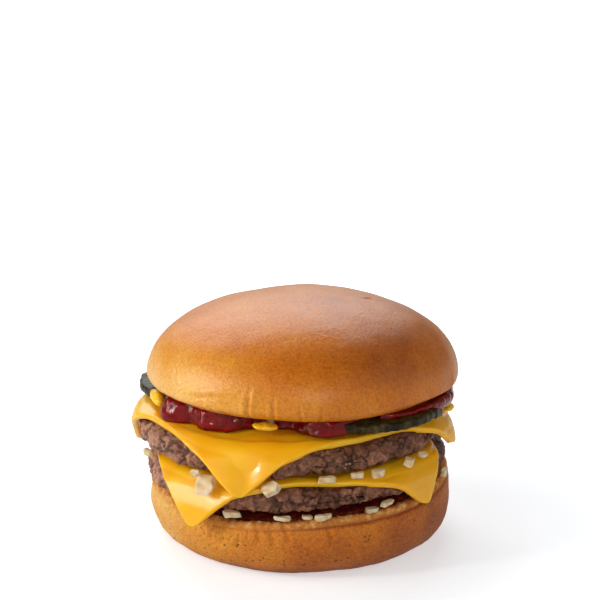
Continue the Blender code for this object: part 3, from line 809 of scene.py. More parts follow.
def cheese_material(settings):
    """Processed cheese slice, cast as a sheet and softened by the patties' heat: smooth, waxy and slightly
    see-through, so that it glows where light comes in at an edge."""
    material, tree, place = new_material("processed_cheese_slice")
    clouds = add(
        tree,
        "ShaderNodeTexNoise",
        {"Vector": place, "Scale": per_size(16.0), "Detail": 3.0, "Roughness": 0.5},
    ).outputs["Fac"]
    body = add(
        tree,
        "ShaderNodeValToRGB",
        {"Fac": clouds},
        stops=((0.3, tuple(settings.cheese_deep)), (0.7, tuple(settings.cheese))),
    ).outputs["Color"]
    # tiny fat beads and air specks
    specks = add(
        tree,
        "ShaderNodeTexNoise",
        {"Vector": place, "Scale": per_size(0.9), "Detail": 3.0, "Roughness": 0.6},
    ).outputs["Fac"]
    bump = add(
        tree,
        "ShaderNodeBump",
        {"Height": specks, "Strength": 1.0, "Distance": 0.02 * MM},
    ).outputs["Normal"]
    rough = add(
        tree,
        "ShaderNodeMapRange",
        {"Value": clouds, "From Min": 0.3, "From Max": 0.7, "To Min": 0.16, "To Max": 0.24},
    ).outputs["Result"]
    shader = add(
        tree,
        "ShaderNodeBsdfPrincipled",
        {
            "Base Color": body,
            "Roughness": rough,
            "Normal": bump,
            "IOR": 1.46,
            "Subsurface Weight": 0.75,
            "Subsurface Radius": (1.0, 0.66, 0.12),
            "Subsurface Scale": 0.0035,
        },
    )
    close_material(tree, shader)
    return material


def bend(distance, start, radius, steepest):
    """Level run and drop of a sheet at distances along it: flat, then round a bend, then curling in a little."""
    past = np.maximum(distance - start, 0.0)
    turn = np.minimum(past / radius, steepest)
    rest = past - turn * radius
    lean = turn + SLICE_CURL * (rest - SLICE_CURL_MIDDLE) * np.clip(rest, 0.0, 1.0)
    run = np.minimum(distance, start) + radius * np.sin(turn) + rest * np.cos(lean)
    drop = radius * (1.0 - np.cos(turn)) + rest * np.sin(lean)
    return run, drop


def droop(past):
    """Drop of a slice's edge at level distances past the place where it starts to hang."""
    steepest = math.radians(SLICE_DROOP_STEEPEST)
    level = np.clip(past, 0.0, SLICE_DROOP_ROUND * math.sin(steepest))
    drop = SLICE_DROOP_ROUND - np.sqrt(SLICE_DROOP_ROUND**2 - level**2)
    return drop + (np.maximum(past, 0.0) - level) * math.tan(steepest)


def keep_off(points, patty, reach):
    """Points moved straight away from a patty's rounded shoulder until they are reach away."""
    centre = np.array((*patty["centre"], 0.0))
    out = points - centre
    length = np.maximum(np.hypot(out[..., 0], out[..., 1]), 1e-6)
    core = patty["radius"] - PATTY_TOP_ROUND
    shoulder = patty_top(patty, points[..., 0], points[..., 1]) - PATTY_TOP_ROUND
    nearest = out * np.minimum(1.0, core / length)[..., None]
    nearest[..., 2] = np.minimum(shoulder, points[..., 2])
    away = out - nearest
    far = np.linalg.norm(away, axis=-1)
    need = PATTY_TOP_ROUND + reach
    grow = np.where((far < 1e-6) | (far >= need), 1.0, need / np.maximum(far, 1e-6))
    return nearest + away * grow[..., None] + centre


def slice_middle(cheese, across, along):
    """Middle surface of a draped slice, from its two diagonal coordinates on the flat slice."""
    patty = PATTIES[cheese["on"]]
    points = np.zeros((*across.shape, 3)) + np.array((*cheese["centre"], 0.0))
    drop = np.zeros(across.shape)
    for distance, corners, turn in ((along, (0, 2), 0.0), (across, (1, 3), 90.0)):
        for corner, sign in zip(corners, (1.0, -1.0)):
            start, radius, steepest = cheese["folds"][corner]
            run, fall = bend(np.abs(distance), start, radius, math.radians(steepest))
            side = (distance >= 0.0) if sign > 0.0 else (distance < 0.0)
            points += spot(cheese["heading"] + turn, sign * run * side)
            drop += fall * side
    start, radius, _ = cheese["folds"][0]
    ramp = np.clip((along - start) / radius, 0.0, 1.0)
    folds = hill(across, 1.8, 3.6) - 0.45 * hill(across, 7.6, 3.2) - 0.3 * hill(across, -6.0, 4.0)
    points -= spot(cheese["heading"], cheese["valley"] * ramp * folds)
    out = distance_of(points, patty["centre"])
    side = hill(np.abs(bearing_of(points)), 95.0, 22.0)
    hang = droop(out - patty["radius"] + SLICE_DROOP_START) * (1.0 + SLICE_DROOP_SIDES * side)
    flat = patty_top(patty, points[..., 0], points[..., 1]) + SLICE_GAP + 0.5 * SLICE_THICK
    points[..., 2] = flat - np.cbrt(drop**3 + hang**3)
    past_core = out - patty["radius"] + PATTY_TOP_ROUND
    spare = SLICE_BEND_SPARE * np.clip(0.6 + past_core / 3.0, 0.0, 1.0)
    return keep_off(points, patty, SLICE_GAP + spare + 0.5 * SLICE_THICK)


def build_cheese(name, material, shift):
    """Draped slice with rounded cut edges, soft waves and the faint ridge where it bends over the patty."""
    cheese = CHEESES[name]
    half = 0.5 * cheese["side"]
    edge = 0.9
    rounding = half - edge + edge * np.sin(np.linspace(0.0, 0.5 * math.pi, 6))
    flat = np.arange(0.0, half - edge, SLICE_STEP)
    ticks = np.concatenate((flat, rounding))
    ticks = np.concatenate((-ticks[:0:-1], ticks))
    u, v = np.meshgrid(ticks, ticks, indexing="ij")
    # the corners of the cut square are a little round
    corner = 1.2 * np.clip((np.abs(u) + np.abs(v)) / (2.0 * half), 0.0, 1.0) ** 40
    u, v = u * (1.0 - corner / half), v * (1.0 - corner / half)
    half_turn = math.sqrt(0.5)
    across, along = half_turn * (u - v), half_turn * (u + v)
    middle = slice_middle(cheese, across, along)
    normal = np.cross(np.gradient(middle, axis=0), np.gradient(middle, axis=1))
    normal /= np.linalg.norm(normal, axis=2, keepdims=True)
    to_edge = half - np.maximum(np.abs(u), np.abs(v))
    out = distance_of(middle, PATTIES[cheese["on"]]["centre"]) - PATTIES[cheese["on"]]["radius"]
    ridge = np.exp(-(((out + 2.2 + 0.8 * lump(middle, 9.0)) / 1.3) ** 2))
    waves = 0.4 * lump(middle, 15.0, 1, shift) + 0.22 * lump(middle, 6.0, 1, shift + 5.0) + 0.3 * ridge
    middle = middle + normal * (np.maximum(waves, -0.12) + 0.05)[..., None]
    inward = np.clip(1.0 - to_edge / edge, 0.0, 1.0)
    thick = 0.5 * SLICE_THICK * (1.0 - inward**3.2) ** (1.0 / 3.2)
    upper = middle + normal * thick[..., None]
    lower = middle - normal * thick[..., None]
    size = len(ticks)
    number = np.arange(size * size).reshape(size, size)
    under = number + size * size
    border = np.zeros((size, size), bool)
    border[[0, -1], :] = True
    border[:, [0, -1]] = True
    under[border] = number[border]
    faces = np.stack((number[:-1, :-1], number[1:, :-1], number[1:, 1:], number[:-1, 1:]), axis=-1)
    back = np.stack((under[:-1, :-1], under[:-1, 1:], under[1:, 1:], under[1:, :-1]), axis=-1)
    keep = np.concatenate((np.ones(size * size, bool), ~border.ravel()))
    renumber = np.cumsum(keep) - 1
    points = np.concatenate((upper.reshape(-1, 3), lower.reshape(-1, 3)))[keep]
    faces = renumber[np.concatenate((faces.reshape(-1, 4), back.reshape(-1, 4)))].tolist()
    return make_piece(name + "_slice", points, faces, material, nodes=(name,), slot="sliced_cheese")


# ---------------------------------------------------------------- pickles


def pickle_material(settings):
    """Dill-pickled cucumber, crinkle-free slices: dark olive skin round the wall with upright streaks, and
    wet grey-green flesh on the faces."""
    material, tree, place = new_material("dill_pickle")
    rind = add(tree, "ShaderNodeAttribute", attribute_name="rind").outputs["Fac"]
    streak = add(tree, "ShaderNodeAttribute", attribute_name="streak").outputs["Fac"]
    mottle = add(
        tree,
        "ShaderNodeTexNoise",
        {"Vector": place, "Scale": per_size(1.6), "Detail": 4.0, "Roughness": 0.65},
    ).outputs["Fac"]
    mixed = add(tree, "ShaderNodeMath", {0: mottle, 1: 0.8, 2: streak}, operation="MULTIPLY_ADD").outputs[0]
    skin = add(
        tree,
        "ShaderNodeValToRGB",
        {"Fac": mixed},
        stops=(
            (0.2, colour("#1d1a0a")),
            (0.55, tuple(settings.pickle_skin)),
            (0.95, colour("#6a6632")),
        ),
    ).outputs["Color"]
    flesh = add(
        tree,
        "ShaderNodeValToRGB",
        {"Fac": mottle},
        stops=((0.35, colour("#2c3212")), (0.65, tuple(settings.pickle_flesh))),
    ).outputs["Color"]
    surface = add(tree, "ShaderNodeMix", {0: rind, 6: flesh, 7: skin}, data_type="RGBA").outputs[2]
    bump = add(
        tree,
        "ShaderNodeBump",
        {"Height": mottle, "Strength": 1.0, "Distance": 0.3 * MM},
    ).outputs["Normal"]
    shader = add(
        tree,
        "ShaderNodeBsdfPrincipled",
        {
            "Base Color": surface,
            "Roughness": 0.3,
            "Normal": bump,
            "IOR": 1.36,
            "Specular IOR Level": 0.3,
            "Subsurface Weight": 0.2,
            "Subsurface Radius": (0.7, 1.0, 0.3),
            "Subsurface Scale": 0.0015,
        },
    )
    close_material(tree, shader)
    return material


def cheese_top(x, y):
    """Height of the upper slice's top where it lies flat."""
    return plane_height(PATTIES["patty_upper"]["over"], x, y) + SLICE_GAP + SLICE_THICK


def build_pickle(name, material, shift):
    """Pickle slice whose outer edge sags past the cheese, with a ribbed skin."""
    pickle = PICKLES[name]
    centre = spot(pickle["bearing"], pickle["distance"])
    edge = pickle["radius"]
    thick = pickle["thick"]
    around = bearings(int(2.0 * math.pi * edge / SAUCE_STEP))
    outline = [(0.3 * edge, 0.0), (edge - 4.0, 0.0), (edge - 0.9, 0.0), (edge - 0.15, 0.35), (edge, 1.0)]
    outline += [(edge, thick - 0.9), (edge - 0.2, thick - 0.3), (edge - 0.9, thick), (edge - 4.0, thick - 0.1)]
    outline += [(0.3 * edge, thick - 0.3)]
    flat = np.stack([spot(around, radius) + centre for radius, _ in outline])
    height = np.array([level for _, level in outline])[:, None]
    past = np.maximum(0.0, np.abs(flat[..., 0]) - PICKLE_SAG_START) / PICKLE_SAG_RUN
    rest = cheese_top(flat[..., 0], flat[..., 1]) + PICKLE_LIFT
    flat[..., 2] = rest - pickle["sag"] * past * past + height
    rings = respace(soften(flat), SAUCE_STEP)
    normal = outward(rings)
    from_middle = np.hypot(rings[..., 0] - centre[0], rings[..., 1] - centre[1])
    rind = ease(from_middle, edge - 1.3, edge - 0.5)
    angle = np.broadcast_to(around, rind.shape)
    ribs = np.sin(np.radians(angle * 27.0) + 5.0 * lump(rings, 7.0, 1, shift))
    relief = 0.05 * ribs * rind + 0.42 * lump(rings, 3.6, 2, shift) + 0.14 * lump(rings, 1.4, 2, shift)
    rings = rings + normal * relief[..., None]
    streak = 0.5 * lump(rings * np.array((1.0, 1.0, 0.12)), 1.6, 2, shift)
    masks = dict(rind=rind, streak=streak + 0.12 * ribs)
    return ring_piece(name + "_slice", rings, material, masks, nodes=(name,), slot="pickled_cucumber")


# ---------------------------------------------------------------- sauces


def ketchup_material(settings):
    """Tomato ketchup, squeezed on: deep glossy red, darker and brighter in patches, with yellow streaks
    where mustard has run into it."""
    material, tree, place = new_material("tomato_ketchup")
    mustardy = add(tree, "ShaderNodeAttribute", attribute_name="mustardy").outputs["Fac"]
    pulp = add(
        tree,
        "ShaderNodeTexNoise",
        {"Vector": place, "Scale": per_size(2.6), "Detail": 4.0, "Roughness": 0.6},
    ).outputs["Fac"]
    red = add(
        tree,
        "ShaderNodeValToRGB",
        {"Fac": pulp},
        stops=((0.3, tuple(settings.ketchup_dark)), (0.7, tuple(settings.ketchup))),
    ).outputs["Color"]
    swirl = add(
        tree,
        "ShaderNodeTexNoise",
        {"Vector": place, "Scale": per_size(2.2), "Detail": 2.0, "Distortion": 2.5},
    ).outputs["Fac"]
    swirl = add(tree, "ShaderNodeMath", {0: swirl, 1: -0.5}, operation="ADD").outputs[0]
    swirl = add(tree, "ShaderNodeMath", {0: swirl, 1: 2.2, 2: mustardy}, operation="MULTIPLY_ADD").outputs[0]
    swirl = add(tree, "ShaderNodeMath", {0: swirl, 1: mustardy}, operation="MULTIPLY", use_clamp=True).outputs[0]
    surface = add(
        tree,
        "ShaderNodeMix",
        {0: swirl, 6: red, 7: colour("#d98a1c")},
        data_type="RGBA",
    ).outputs[2]
    bump = add(
        tree,
        "ShaderNodeBump",
        {"Height": pulp, "Strength": 1.0, "Distance": 0.2 * MM},
    ).outputs["Normal"]
    shader = add(
        tree,
        "ShaderNodeBsdfPrincipled",
        {
            "Base Color": surface,
            "Roughness": 0.06,
            "Normal": bump,
            "IOR": 1.42,
            "Specular IOR Level": 0.35,
        },
    )
    close_material(tree, shader)
    return material


def mustard_material(settings):
    """Yellow mustard: smooth, opaque and wet, with faint orange patches."""
    material, tree, place = new_material("yellow_mustard")
    clouds = add(
        tree,
        "ShaderNodeTexNoise",
        {"Vector": place, "Scale": per_size(3.0), "Detail": 3.0, "Roughness": 0.6},
    ).outputs["Fac"]
    body = add(
        tree,
        "ShaderNodeValToRGB",
        {"Fac": clouds},
        stops=((0.25, colour("#dc9a14")), (0.5, tuple(settings.mustard))),
    ).outputs["Color"]
    shader = add(
        tree,
        "ShaderNodeBsdfPrincipled",
        {
            "Base Color": body,
            "Roughness": 0.2,
            "IOR": 1.42,
            "Coat Weight": 0.3,
            "Coat Roughness": 0.08,
            "Subsurface Weight": 0.25,
            "Subsurface Radius": (1.0, 0.6, 0.1),
            "Subsurface Scale": 0.0015,
        },
    )
    close_material(tree, shader)
    return material


def cut_room(piece, pickle):
    """Cut the room that a pickle takes up out of a sauce."""
    cut = piece.modifiers.new("room", "BOOLEAN")
    cut.operation = "DIFFERENCE"
    cut.solver = "EXACT"
    cut.object = pickle
    graph = bpy.context.evaluated_depsgraph_get()
    shaped = bpy.data.meshes.new_from_object(piece.evaluated_get(graph))
    piece.modifiers.clear()
    piece.data = shaped


def build_ketchup(material):
    """Ketchup layer between the upper slice and the crown, bulging out in lobes at the front."""
    around = bearings(int(2.0 * math.pi * KETCHUP_RADIUS / (1.2 * SAUCE_STEP)), 0.4)
    reach = sum(size * hill(around, middle, width) for middle, width, size in KETCHUP_LOBES)
    ripple = 0.7 * np.sin(np.radians(7.0 * around)) + 0.35 * np.sin(np.radians(23.0 * around + 50.0))
    radius = KETCHUP_RADIUS + reach + ripple
    section = [(22.0, -0.05), (6.0, -0.05), (0.9, -0.05), (-0.2, 0.02), (-0.1, 0.2), (0.4, 0.48)]
    section += [(1.1, 0.8), (2.4, 1.02), (8.0, 1.04), (24.0, 1.0)]
    rings = []
    for inward, share in section:
        ring = spot(around, radius - inward)
        bottom = cheese_top(ring[:, 0], ring[:, 1]) + 0.3
        own = distance_of(ring, CROWN_CENTRE)
        top = crown_underside(np.maximum(own, CROWN_CUT_RADIUS), ring[:, 1])
        ring[:, 2] = bottom + (top - bottom) * share
        rings.append(ring)
    rings = respace(soften(np.stack(rings), 3), 1.2 * SAUCE_STEP)
    normal = outward(rings)
    seen = ease(distance_of(rings), 30.0, 38.0)
    relief = 0.65 * lump(rings, 6.5, 2, 3.0) + 0.22 * lump(rings, 2.4, 2, 8.0)
    rings = rings + normal * (relief * seen)[..., None]
    facing = bearing_of(rings)
    mustardy = 1.1 * hill(facing, -77.0, 6.5) * ease(distance_of(rings), 41.0, 45.0)
    masks = dict(mustardy=mustardy)
    return ring_piece("ketchup_layer", rings, material, masks, nodes=("ketchup",), slot="ketchup")


def build_ketchup_band(material):
    """Ketchup squeezed out over the right pickle's edge, swept along under the crown's rim."""
    band = KETCHUP_BAND
    over_pickle = PICKLES["pickle_right"]["thick"] - 1.0
    section = ((1.0, 0.0), (0.45, -0.03), (0.1, 0.12), (-0.06, 0.5), (0.08, 0.88), (0.45, 1.03), (1.0, 1.0))
    shares = np.linspace(0.0, 1.0, 170)
    facing = band["first"] + (band["last"] - band["first"]) * shares
    fade = np.sin(math.pi * np.clip(shares, 0.02, 0.98)) ** 0.5
    outer = band["inner"] + (band["outer"] - band["inner"]) * fade
    rows = []
    for inward, high in section:
        row = spot(facing, outer + (band["inner"] - outer) * inward)
        lift = np.clip((KETCHUP_BAND_DIVE - facing) / 22.0, 0.0, 1.0)
        hang = KETCHUP_BAND_HANG * np.maximum(0.0, outer - band["inner"]) * (1.0 - inward) * (1.0 - lift)
        bottom = cheese_top(row[:, 0], row[:, 1]) + 0.6 + over_pickle * lift - hang
        top = crown_underside(distance_of(row, CROWN_CENTRE), row[:, 1]) + 0.1
        row[:, 2] = bottom + (top - bottom) * high
        rows.append(row)
    sections = respace(soften(np.stack(rows), 2), SAUCE_STEP)
    back = 0.5 * (sections[:1] + sections[-1:])
    closed = np.concatenate((sections, back)).transpose(1, 0, 2)
    normal = outward(closed)
    relief = 0.35 * lump(closed, 4.0, 2, 1.0) + 0.12 * lump(closed, 1.5, 2, 6.0)
    seen = ease(distance_of(closed), 42.5, 44.5)
    rings = closed + normal * (relief * seen)[..., None]
    mustardy = 0.6 * hill(bearing_of(rings), 92.0, 5.0)
    masks = dict(mustardy=mustardy)
    return ring_piece("ketchup_over_pickle", rings, material, masks, nodes=("ketchup_right",), slot="ketchup")


def remeshed(node, step, rounds):
    """Points and faces of a CAD node's solid, remeshed in cells of that size and smoothed."""
    trial = bpy.data.objects.new("trial", frame["nodes"][node].data.copy())
    bpy.context.scene.collection.objects.link(trial)
    even = trial.modifiers.new("even", "REMESH")
    even.mode = "VOXEL"
    even.voxel_size = step * MM
    smooth = trial.modifiers.new("smooth", "SMOOTH")
    smooth.factor = 0.5
    smooth.iterations = rounds
    graph = bpy.context.evaluated_depsgraph_get()
    shaped = bpy.data.meshes.new_from_object(trial.evaluated_get(graph))
    points = np.array([tuple(vertex.co) for vertex in shaped.vertices]) / MM
    normals = np.array([tuple(vertex.normal) for vertex in shaped.vertices])
    faces = [tuple(face.vertices) for face in shaped.polygons]
    bpy.data.objects.remove(trial)
    bpy.data.meshes.remove(shaped)
    return points, normals, faces


def build_mustard(name, material):
    """Drop of mustard, swollen a little so that it meets what it lies on."""
    points, normals, faces = remeshed(name, 0.22, 8)
    swell = 0.3 + 0.45 * lump(points, 2.6, 2, 5.0)
    points = points + normals * swell[:, None]
    foot = points[:, 2].min()
    points[:, 2] = foot + MUSTARD_SLUMP * (points[:, 2] - foot)
    return make_piece(name + "_drop", points, faces, material, nodes=(name,), slot="mustard")


# ---------------------------------------------------------------- onion


def onion_material(settings):
    """Diced white onion, raw to half cooked: wet and see-through, with the faint lines of its layers."""
    material, tree, place = new_material("diced_white_onion")
    layers = add(
        tree,
        "ShaderNodeTexWave",
        {"Vector": place, "Scale": per_size(7.0), "Distortion": 3.0, "Detail": 2.0, "Detail Scale": 1.5},
        bands_direction="DIAGONAL",
    ).outputs["Fac"]
    clouds = add(
        tree,
        "ShaderNodeTexNoise",
        {"Vector": place, "Scale": per_size(3.5), "Detail": 3.0, "Roughness": 0.6},
    ).outputs["Fac"]
    mixed = add(tree, "ShaderNodeMath", {0: layers, 1: 0.35, 2: clouds}, operation="MULTIPLY_ADD").outputs[0]
    flesh = add(
        tree,
        "ShaderNodeValToRGB",
        {"Fac": mixed},
        stops=(
            (0.35, colour("#d6b480")),
            (0.62, tuple(settings.onion)),
            (1.0, colour("#f6e8cc")),
        ),
    ).outputs["Color"]
    bump = add(
        tree,
        "ShaderNodeBump",
        {"Height": mixed, "Strength": 1.0, "Distance": 0.05 * MM},
    ).outputs["Normal"]
    shader = add(
        tree,
        "ShaderNodeBsdfPrincipled",
        {
            "Base Color": flesh,
            "Roughness": 0.24,
            "Normal": bump,
            "IOR": 1.36,
            "Transmission Weight": 0.25,
            "Subsurface Weight": 0.7,
            "Subsurface Radius": (1.0, 0.9, 0.7),
            "Subsurface Scale": 0.0016,
        },
    )
    close_material(tree, shader)
    return material


def build_onion(node, material):
    """Chopped piece of onion with slightly worn corners and the curve of its layer."""
    points, normals, faces = remeshed(node, 0.17, 3)
    relief = 0.2 * lump(points, 1.8, 1, 2.0) + 0.25 * lump(points, 4.0, 1, 6.0)
    points = points + normals * (relief - 0.05)[:, None]
    return make_piece("diced_" + node, points, faces, material, nodes=(node,), slot="onion_flesh")


# ---------------------------------------------------------------- crumbs and juices


def scatter(name, spots, sizes, material, stretch, seed, slot):
    """One joined mesh of small uneven beads."""
    ball = bmesh.new()
    bmesh.ops.create_icosphere(ball, subdivisions=2, radius=1.0)
    shape = np.array([tuple(vertex.co) for vertex in ball.verts])
    sides = np.array([[vertex.index for vertex in face.verts] for face in ball.faces])
    ball.free()
    rng = np.random.default_rng(seed)
    points, faces = [], []
    for number, (place, size) in enumerate(zip(spots, sizes)):
        spin = np.array(Matrix.Rotation(rng.uniform(0.0, 6.28), 3, Vector(rng.normal(size=3))))
        uneven = 1.0 + stretch * lump(shape + 9.0 * number, 0.9)[:, None]
        points.append(shape * uneven * size @ spin + place)
        faces.append(sides + number * len(shape))
    return make_piece(name, np.concatenate(points), np.concatenate(faces).tolist(), material, slot=slot)


def crumb_material(settings):
    """Loose crumbs of toasted bun: dry, pale and rough."""
    material, tree, place = new_material("toasted_bun_crumbs")
    tone = add(
        tree,
        "ShaderNodeTexNoise",
        {"Vector": place, "Scale": per_size(1.2), "Detail": 3.0, "Roughness": 0.6},
    ).outputs["Fac"]
    shade = add(
        tree,
        "ShaderNodeValToRGB",
        {"Fac": tone},
        stops=((0.35, colour("#a8622a")), (0.6, tuple(settings.crumb))),
    ).outputs["Color"]
    bump = add(
        tree,
        "ShaderNodeBump",
        {"Height": tone, "Strength": 1.0, "Distance": 0.2 * MM},
    ).outputs["Normal"]
    shader = add(
        tree,
        "ShaderNodeBsdfPrincipled",
        {"Base Color": shade, "Roughness": 0.8, "Normal": bump, "IOR": 1.45},
    )
    close_material(tree, shader)
    return material


def juice_material(settings):
    """Rendered beef fat and juice: clear amber beads that catch the light."""
    material, tree, place = new_material("beef_juice")
    tone = add(
        tree,
        "ShaderNodeTexNoise",
        {"Vector": place, "Scale": per_size(4.0), "Detail": 2.0},
    ).outputs["Fac"]
    shade = add(
        tree,
        "ShaderNodeValToRGB",
        {"Fac": tone},
        stops=((0.4, tuple(settings.juice)), (0.62, colour("#c9a184"))),
    ).outputs["Color"]
    shader = add(
        tree,
        "ShaderNodeBsdfPrincipled",
        {
            "Base Color": shade,
            "Roughness": 0.1,
            "IOR": 1.46,
            "Transmission Weight": 0.3,
            "Coat Weight": 0.4,
            "Coat Roughness": 0.04,
        },
    )
    close_material(tree, shader)
    return material


def build_crumbs(settings):
    """Small crumbs on the heel's torn lip."""
    rng = np.random.default_rng(5)
    count = 150
    facing = np.concatenate((rng.normal(-8.0, 14.0, 40), rng.uniform(-40.0, 300.0, count - 40)))
    inward = rng.uniform(0.8, 3.4, count)
    spots = spot(facing, HEEL_RADIUS - 0.9 - inward, heel_rim(facing) + 0.25 + 0.35 * rng.random(count))
    sizes = rng.uniform(0.18, 0.5, count)
    return scatter("bun_crumbs", spots, sizes, crumb_material(settings), 0.7, 6, "bun_crust")


def build_juices(settings):
    """Beads of fat and juice held in the seams of the patties' rims."""
    rng = np.random.default_rng(8)
    spots, sizes = [], []
    for name, count in (("patty_lower", 110), ("patty_upper", 130)):
        patty = PATTIES[name]
        facing = rng.uniform(0.0, 360.0, count)
        share = rng.random(count) ** 0.6
        place = spot(facing, patty["radius"] - rng.uniform(0.55, 1.0, count)) + np.array((*patty["centre"], 0.0))
        low = plane_height(patty["under"], place[:, 0], place[:, 1]) + 1.6
        high = patty_top(patty, place[:, 0], place[:, 1]) - 2.6
        place[:, 2] = low + (high - low) * share
        spots.append(place)
        sizes.append(rng.uniform(0.14, 0.4, count))
    spots, sizes = np.concatenate(spots), np.concatenate(sizes)
    return scatter("beef_juice_beads", spots, sizes, juice_material(settings), 0.4, 9, "griddled_beef")


# ---------------------------------------------------------------- settings


def shade(name, code, description):
    return FloatVectorProperty(
        name=name,
        description=description,
        subtype="COLOR",
        size=4,
        min=0.0,
        max=1.0,
        default=colour(code),
    )


class BunSettings(bpy.types.PropertyGroup):
    crust_pale: shade("Pale crust", "#ebb45c", "Skin low on the side, where the oven hardly browned it")
    crust_golden: shade("Golden crust", "#dc8f24", "Skin between the pale edge and the brown top")
    crust_brown: shade("Brown crust", "#c96e0c", "Skin over most of the dome")
    crust_dark: shade("Dark crust", "#a04c06", "Skin where it browned most")
    crumb: shade("Crumb", "#cf873a", "Torn crumb on the heel's lip")


class FillingSettings(bpy.types.PropertyGroup):
    meat: shade("Meat", "#905f48", "Cooked ground beef")
    meat_moist: shade("Moist meat", "#b47a5c", "Clumps that are still moist")
    meat_seared: shade("Seared meat", "#71402a", "Top edge, browned on the griddle")
    juice: shade("Juice", "#8a3c1a", "Fat and juice on the patties")
    cheese: shade("Cheese", "#fdbc1c", "Slices")
    cheese_deep: shade("Deep cheese", "#f9ac0e", "Slices where they are a little thicker")


class ToppingSettings(bpy.types.PropertyGroup):
    pickle_skin: shade("Pickle skin", "#44391a", "Wall of a pickle slice")
    pickle_flesh: shade("Pickle flesh", "#50471c", "Faces of a pickle slice")
    ketchup: shade("Ketchup", "#840200", "Ketchup where it is thin")
    ketchup_dark: shade("Deep ketchup", "#520101", "Ketchup where it is thick")
    mustard: shade("Mustard", "#edc420", "Mustard drops")
    onion: shade("Onion", "#ecd3a6", "Diced onion")


class StageSettings(bpy.types.PropertyGroup):
    floor: shade("Floor", "#ffffff", "Pale floor")
    floor_width: FloatProperty(
        name="Floor width", description="Side of the square floor", default=8.0, unit="LENGTH", min=1.0
    )
    daylight: FloatProperty(
        name="Daylight", description="Strength of the soft light from all round", default=0.16, min=0.0
    )
    floor_glow: FloatProperty(
        name="Floor glow", description="How bright the lit paper looks by itself near the burger", default=0.46, min=0.0
    )
    floor_bounce: FloatProperty(
        name="Floor bounce", description="How much of that light reaches the burger", default=0.35, min=0.0
    )
    camera_distance: FloatProperty(
        name="Camera distance",
        description="Level distance from the burger's axis to the camera",
        default=0.69526,
        unit="LENGTH",
        min=0.2,
    )
    camera_height: FloatProperty(
        name="Camera height", description="Height of the camera", default=0.26302, unit="LENGTH", min=0.0
    )


# ---------------------------------------------------------------- stage


def softbox(name, place, width, height, glow, tint):
    """Rectangular studio light that faces the burger; glow is how bright its cloth looks."""
    light = bpy.data.lights.new(name, "AREA")
    light.shape = "RECTANGLE"
    light.size = width
    light.size_y = height
    light.energy = glow * math.pi * width * height
    light.color = colour(tint)[:3]
    lamp = bpy.data.objects.new(name, light)
    lamp.location = place
    lamp.rotation_euler = (place - Vector((0.0, 0.0, 0.04))).to_track_quat("Z", "Y").to_euler()
    lamp.visible_camera = False
    bpy.context.scene.collection.objects.link(lamp)
    return lamp


def floor_material(settings):
    """Seamless photographic paper that glows by itself as painted light, most of all away from the burger, so
    that it looks nearly white and still takes a soft shadow."""
    material, tree, place = new_material("seamless_white_paper")
    away = add(tree, "ShaderNodeVectorMath", {0: place}, operation="LENGTH").outputs["Value"]
    glow = add(
        tree,
        "ShaderNodeMapRange",
        {"Value": away, "From Min": 0.07, "From Max": 0.36, "To Min": settings.floor_glow, "To Max": 1.05},
    ).outputs["Result"]
    # it looks brighter than the light it throws at the burger
    seen = add(tree, "ShaderNodeLightPath").outputs["Is Camera Ray"]
    glow = add(tree, "ShaderNodeMix", {0: seen, 2: settings.floor_bounce, 3: glow}).outputs[0]
    tone = add(
        tree,
        "ShaderNodeMix",
        {0: seen, 6: colour("#a0a0a0"), 7: colour("#dde1e7")},
        data_type="RGBA",
    ).outputs[2]
    shader = add(
        tree,
        "ShaderNodeBsdfPrincipled",
        {
            "Base Color": tone,
            "Roughness": 0.9,
            "Specular IOR Level": 0.0,
            "Emission Color": tuple(settings.floor),
            "Emission Strength": glow,
        },
    )
    close_material(tree, shader)
    return material


def build_stage(settings):
    """Pale floor, even daylight, softboxes and the camera."""
    scene = bpy.context.scene
    world = bpy.data.worlds.new("studio_daylight")
    scene.world = world
    world.use_nodes = True
    tree = world.node_tree
    # the far wall looks white, and lights the burger only a little
    seen = add(tree, "ShaderNodeLightPath").outputs["Is Camera Ray"]
    strength = add(tree, "ShaderNodeMix", {0: seen, 2: settings.daylight, 3: 1.0}).outputs[0]
    tree.nodes["Background"].inputs["Color"].default_value = colour("#ffffff")
    tree.links.new(strength, tree.nodes["Background"].inputs["Strength"])

    half = 0.5 * settings.floor_width
    mesh = bpy.data.meshes.new("studio_floor")
    corners = [(-half, -half, 0.0), (half, -half, 0.0), (half, half, 0.0), (-half, half, 0.0)]
    mesh.from_pydata(corners, [], [(0, 1, 2, 3)])
    mesh.materials.append(floor_material(settings))
    floor = bpy.data.objects.new("studio_floor", mesh)
    scene.collection.objects.link(floor)

    for name, bearing, rise, away, width, height, glow, tint in SOFTBOXES:
        place = spot(bearing, away * math.cos(math.radians(rise)), away * math.sin(math.radians(rise)))
        softbox(name, Vector(place), width, height, glow, tint)

    camera = bpy.data.cameras.new("camera")
    camera.sensor_width = 36.0
    camera.lens = 138.83
    camera.clip_start = 0.01
    camera.clip_end = 20.0
    holder = bpy.data.objects.new("camera", camera)
    holder.location = (0.0, -settings.camera_distance, settings.camera_height)
    holder.rotation_euler = (math.radians(90.0 - 15.09), 0.0, 0.0)
    scene.collection.objects.link(holder)
    scene.camera = holder
    scene.view_settings.view_transform = "Standard"


# ---------------------------------------------------------------- operators and panel


class BURGER_OT_stage(bpy.types.Operator):
    """Set the pale floor, the soft lights and the camera"""

    bl_idname = "burger.stage"
    bl_label = "Stage"

    def execute(self, context):
        build_stage(context.scene.burger_stage)
        return {"FINISHED"}


